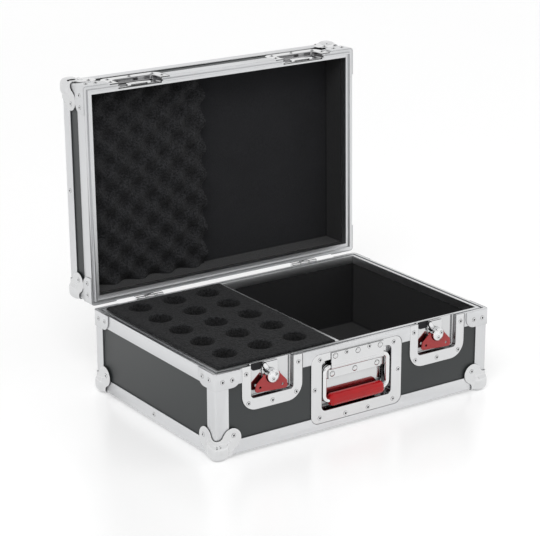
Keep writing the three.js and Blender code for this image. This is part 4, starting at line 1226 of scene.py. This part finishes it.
# Floor and light, in metres and watts
FLOOR_SIZE = 30
FLOOR_GLOW = 0.34
WORLD_LIGHT = 0.5
FLAGS = (("top_flag", (0, 0, 2.4), 2.0), ("front_flag", (-1.75, -2.6, 1.25), 1.1),
         ("side_flag", (0.8, -3.0, 1.4), 0.7))
LAMPS = (("key", (-1.6, -1.8, 2.6), 1.8, 36), ("fill", (2.4, -1.2, 1.6), 1.6, 8))
LAMP_AIM = (0, 0, 0.2)


def square(name, size, mat):
    half = size / 2
    mesh = bpy.data.meshes.new(name)
    mesh.from_pydata([(-half, -half, 0), (half, -half, 0), (half, half, 0), (-half, half, 0)], [],
                     [(0, 1, 2, 3)])
    mesh.materials.append(mat)
    return linked(name, mesh)


def ray_is(tree, *kinds):
    """1 for rays of any of the kinds."""
    path = node(tree, "ShaderNodeLightPath")
    found = path.outputs[kinds[0]]
    for kind in kinds[1:]:
        found = math_of(tree, "MAXIMUM", found, path.outputs[kind])
    return found


def aimed(obj, spot, direction, axis):
    obj.location = spot
    obj.rotation_mode = "QUATERNION"
    obj.rotation_quaternion = Vector(direction).to_track_quat(axis, "Y")


def studio():
    mat, tree, shader, place = surface("floor", (0.87, 0.87, 0.87), 0.0, 0.26, Specular_IOR_Level=0.8)
    cloud = noise_of(tree, place, 1.5, 2)
    shader.inputs["Emission Color"].default_value = (1, 1, 1, 1)
    glow = math_of(tree, "MULTIPLY", ray_is(tree, "Is Camera Ray", "Is Glossy Ray"), FLOOR_GLOW)
    feed(tree, shader, Roughness=remap(tree, cloud, 0.24, 0.28), Emission_Strength=glow)
    floor = square("floor", FLOOR_SIZE, mat)

    black = surface("flag", (0.02, 0.02, 0.02), 0.0, 1.0, Specular_IOR_Level=0.0)[0]
    for name, spot, size in FLAGS:
        flag = square(name, size, black)
        aimed(flag, spot, spot, "Z")
        flag.visible_camera = False
        flag.visible_diffuse = False
        flag.visible_shadow = False

    world = bpy.data.worlds.new("studio")
    bpy.context.scene.world = world
    world.use_nodes = True
    tree = world.node_tree
    background = tree.nodes["Background"]
    background.inputs["Color"].default_value = (1, 1, 1, 1)
    seen = ray_is(tree, "Is Camera Ray", "Is Glossy Ray", "Is Transmission Ray")
    feed(tree, background, Strength=remap(tree, seen, WORLD_LIGHT, 1.0))

    for name, spot, size, power in LAMPS:
        data = bpy.data.lights.new(name, "AREA")
        data.shape = "DISK"
        data.size = size
        data.energy = power
        lamp = linked(name, data)
        lamp.visible_glossy = False
        aimed(lamp, spot, Vector(LAMP_AIM) - Vector(spot), "-Z")


camera()
studio()
ball_corners()
microphone_foam()
egg_crate_foam()
linings()
for latch_side, latch_sign in SIDES:
    for make in (latch_dish, keeper_dish, keeper_strap, latch_wing, latch_boss, latch_drawbar, return_spring):
        make(latch_side, latch_sign * LATCH_X)
handle_dish()
clamp_plate()
bail()
grip()
front_rivets()
half_rivets("base", BASE_HEIGHT, -1)
half_rivets("lid", LID_PARTING, 1)
dress_frame()

bpy.context.scene.view_settings.view_transform = "Standard"
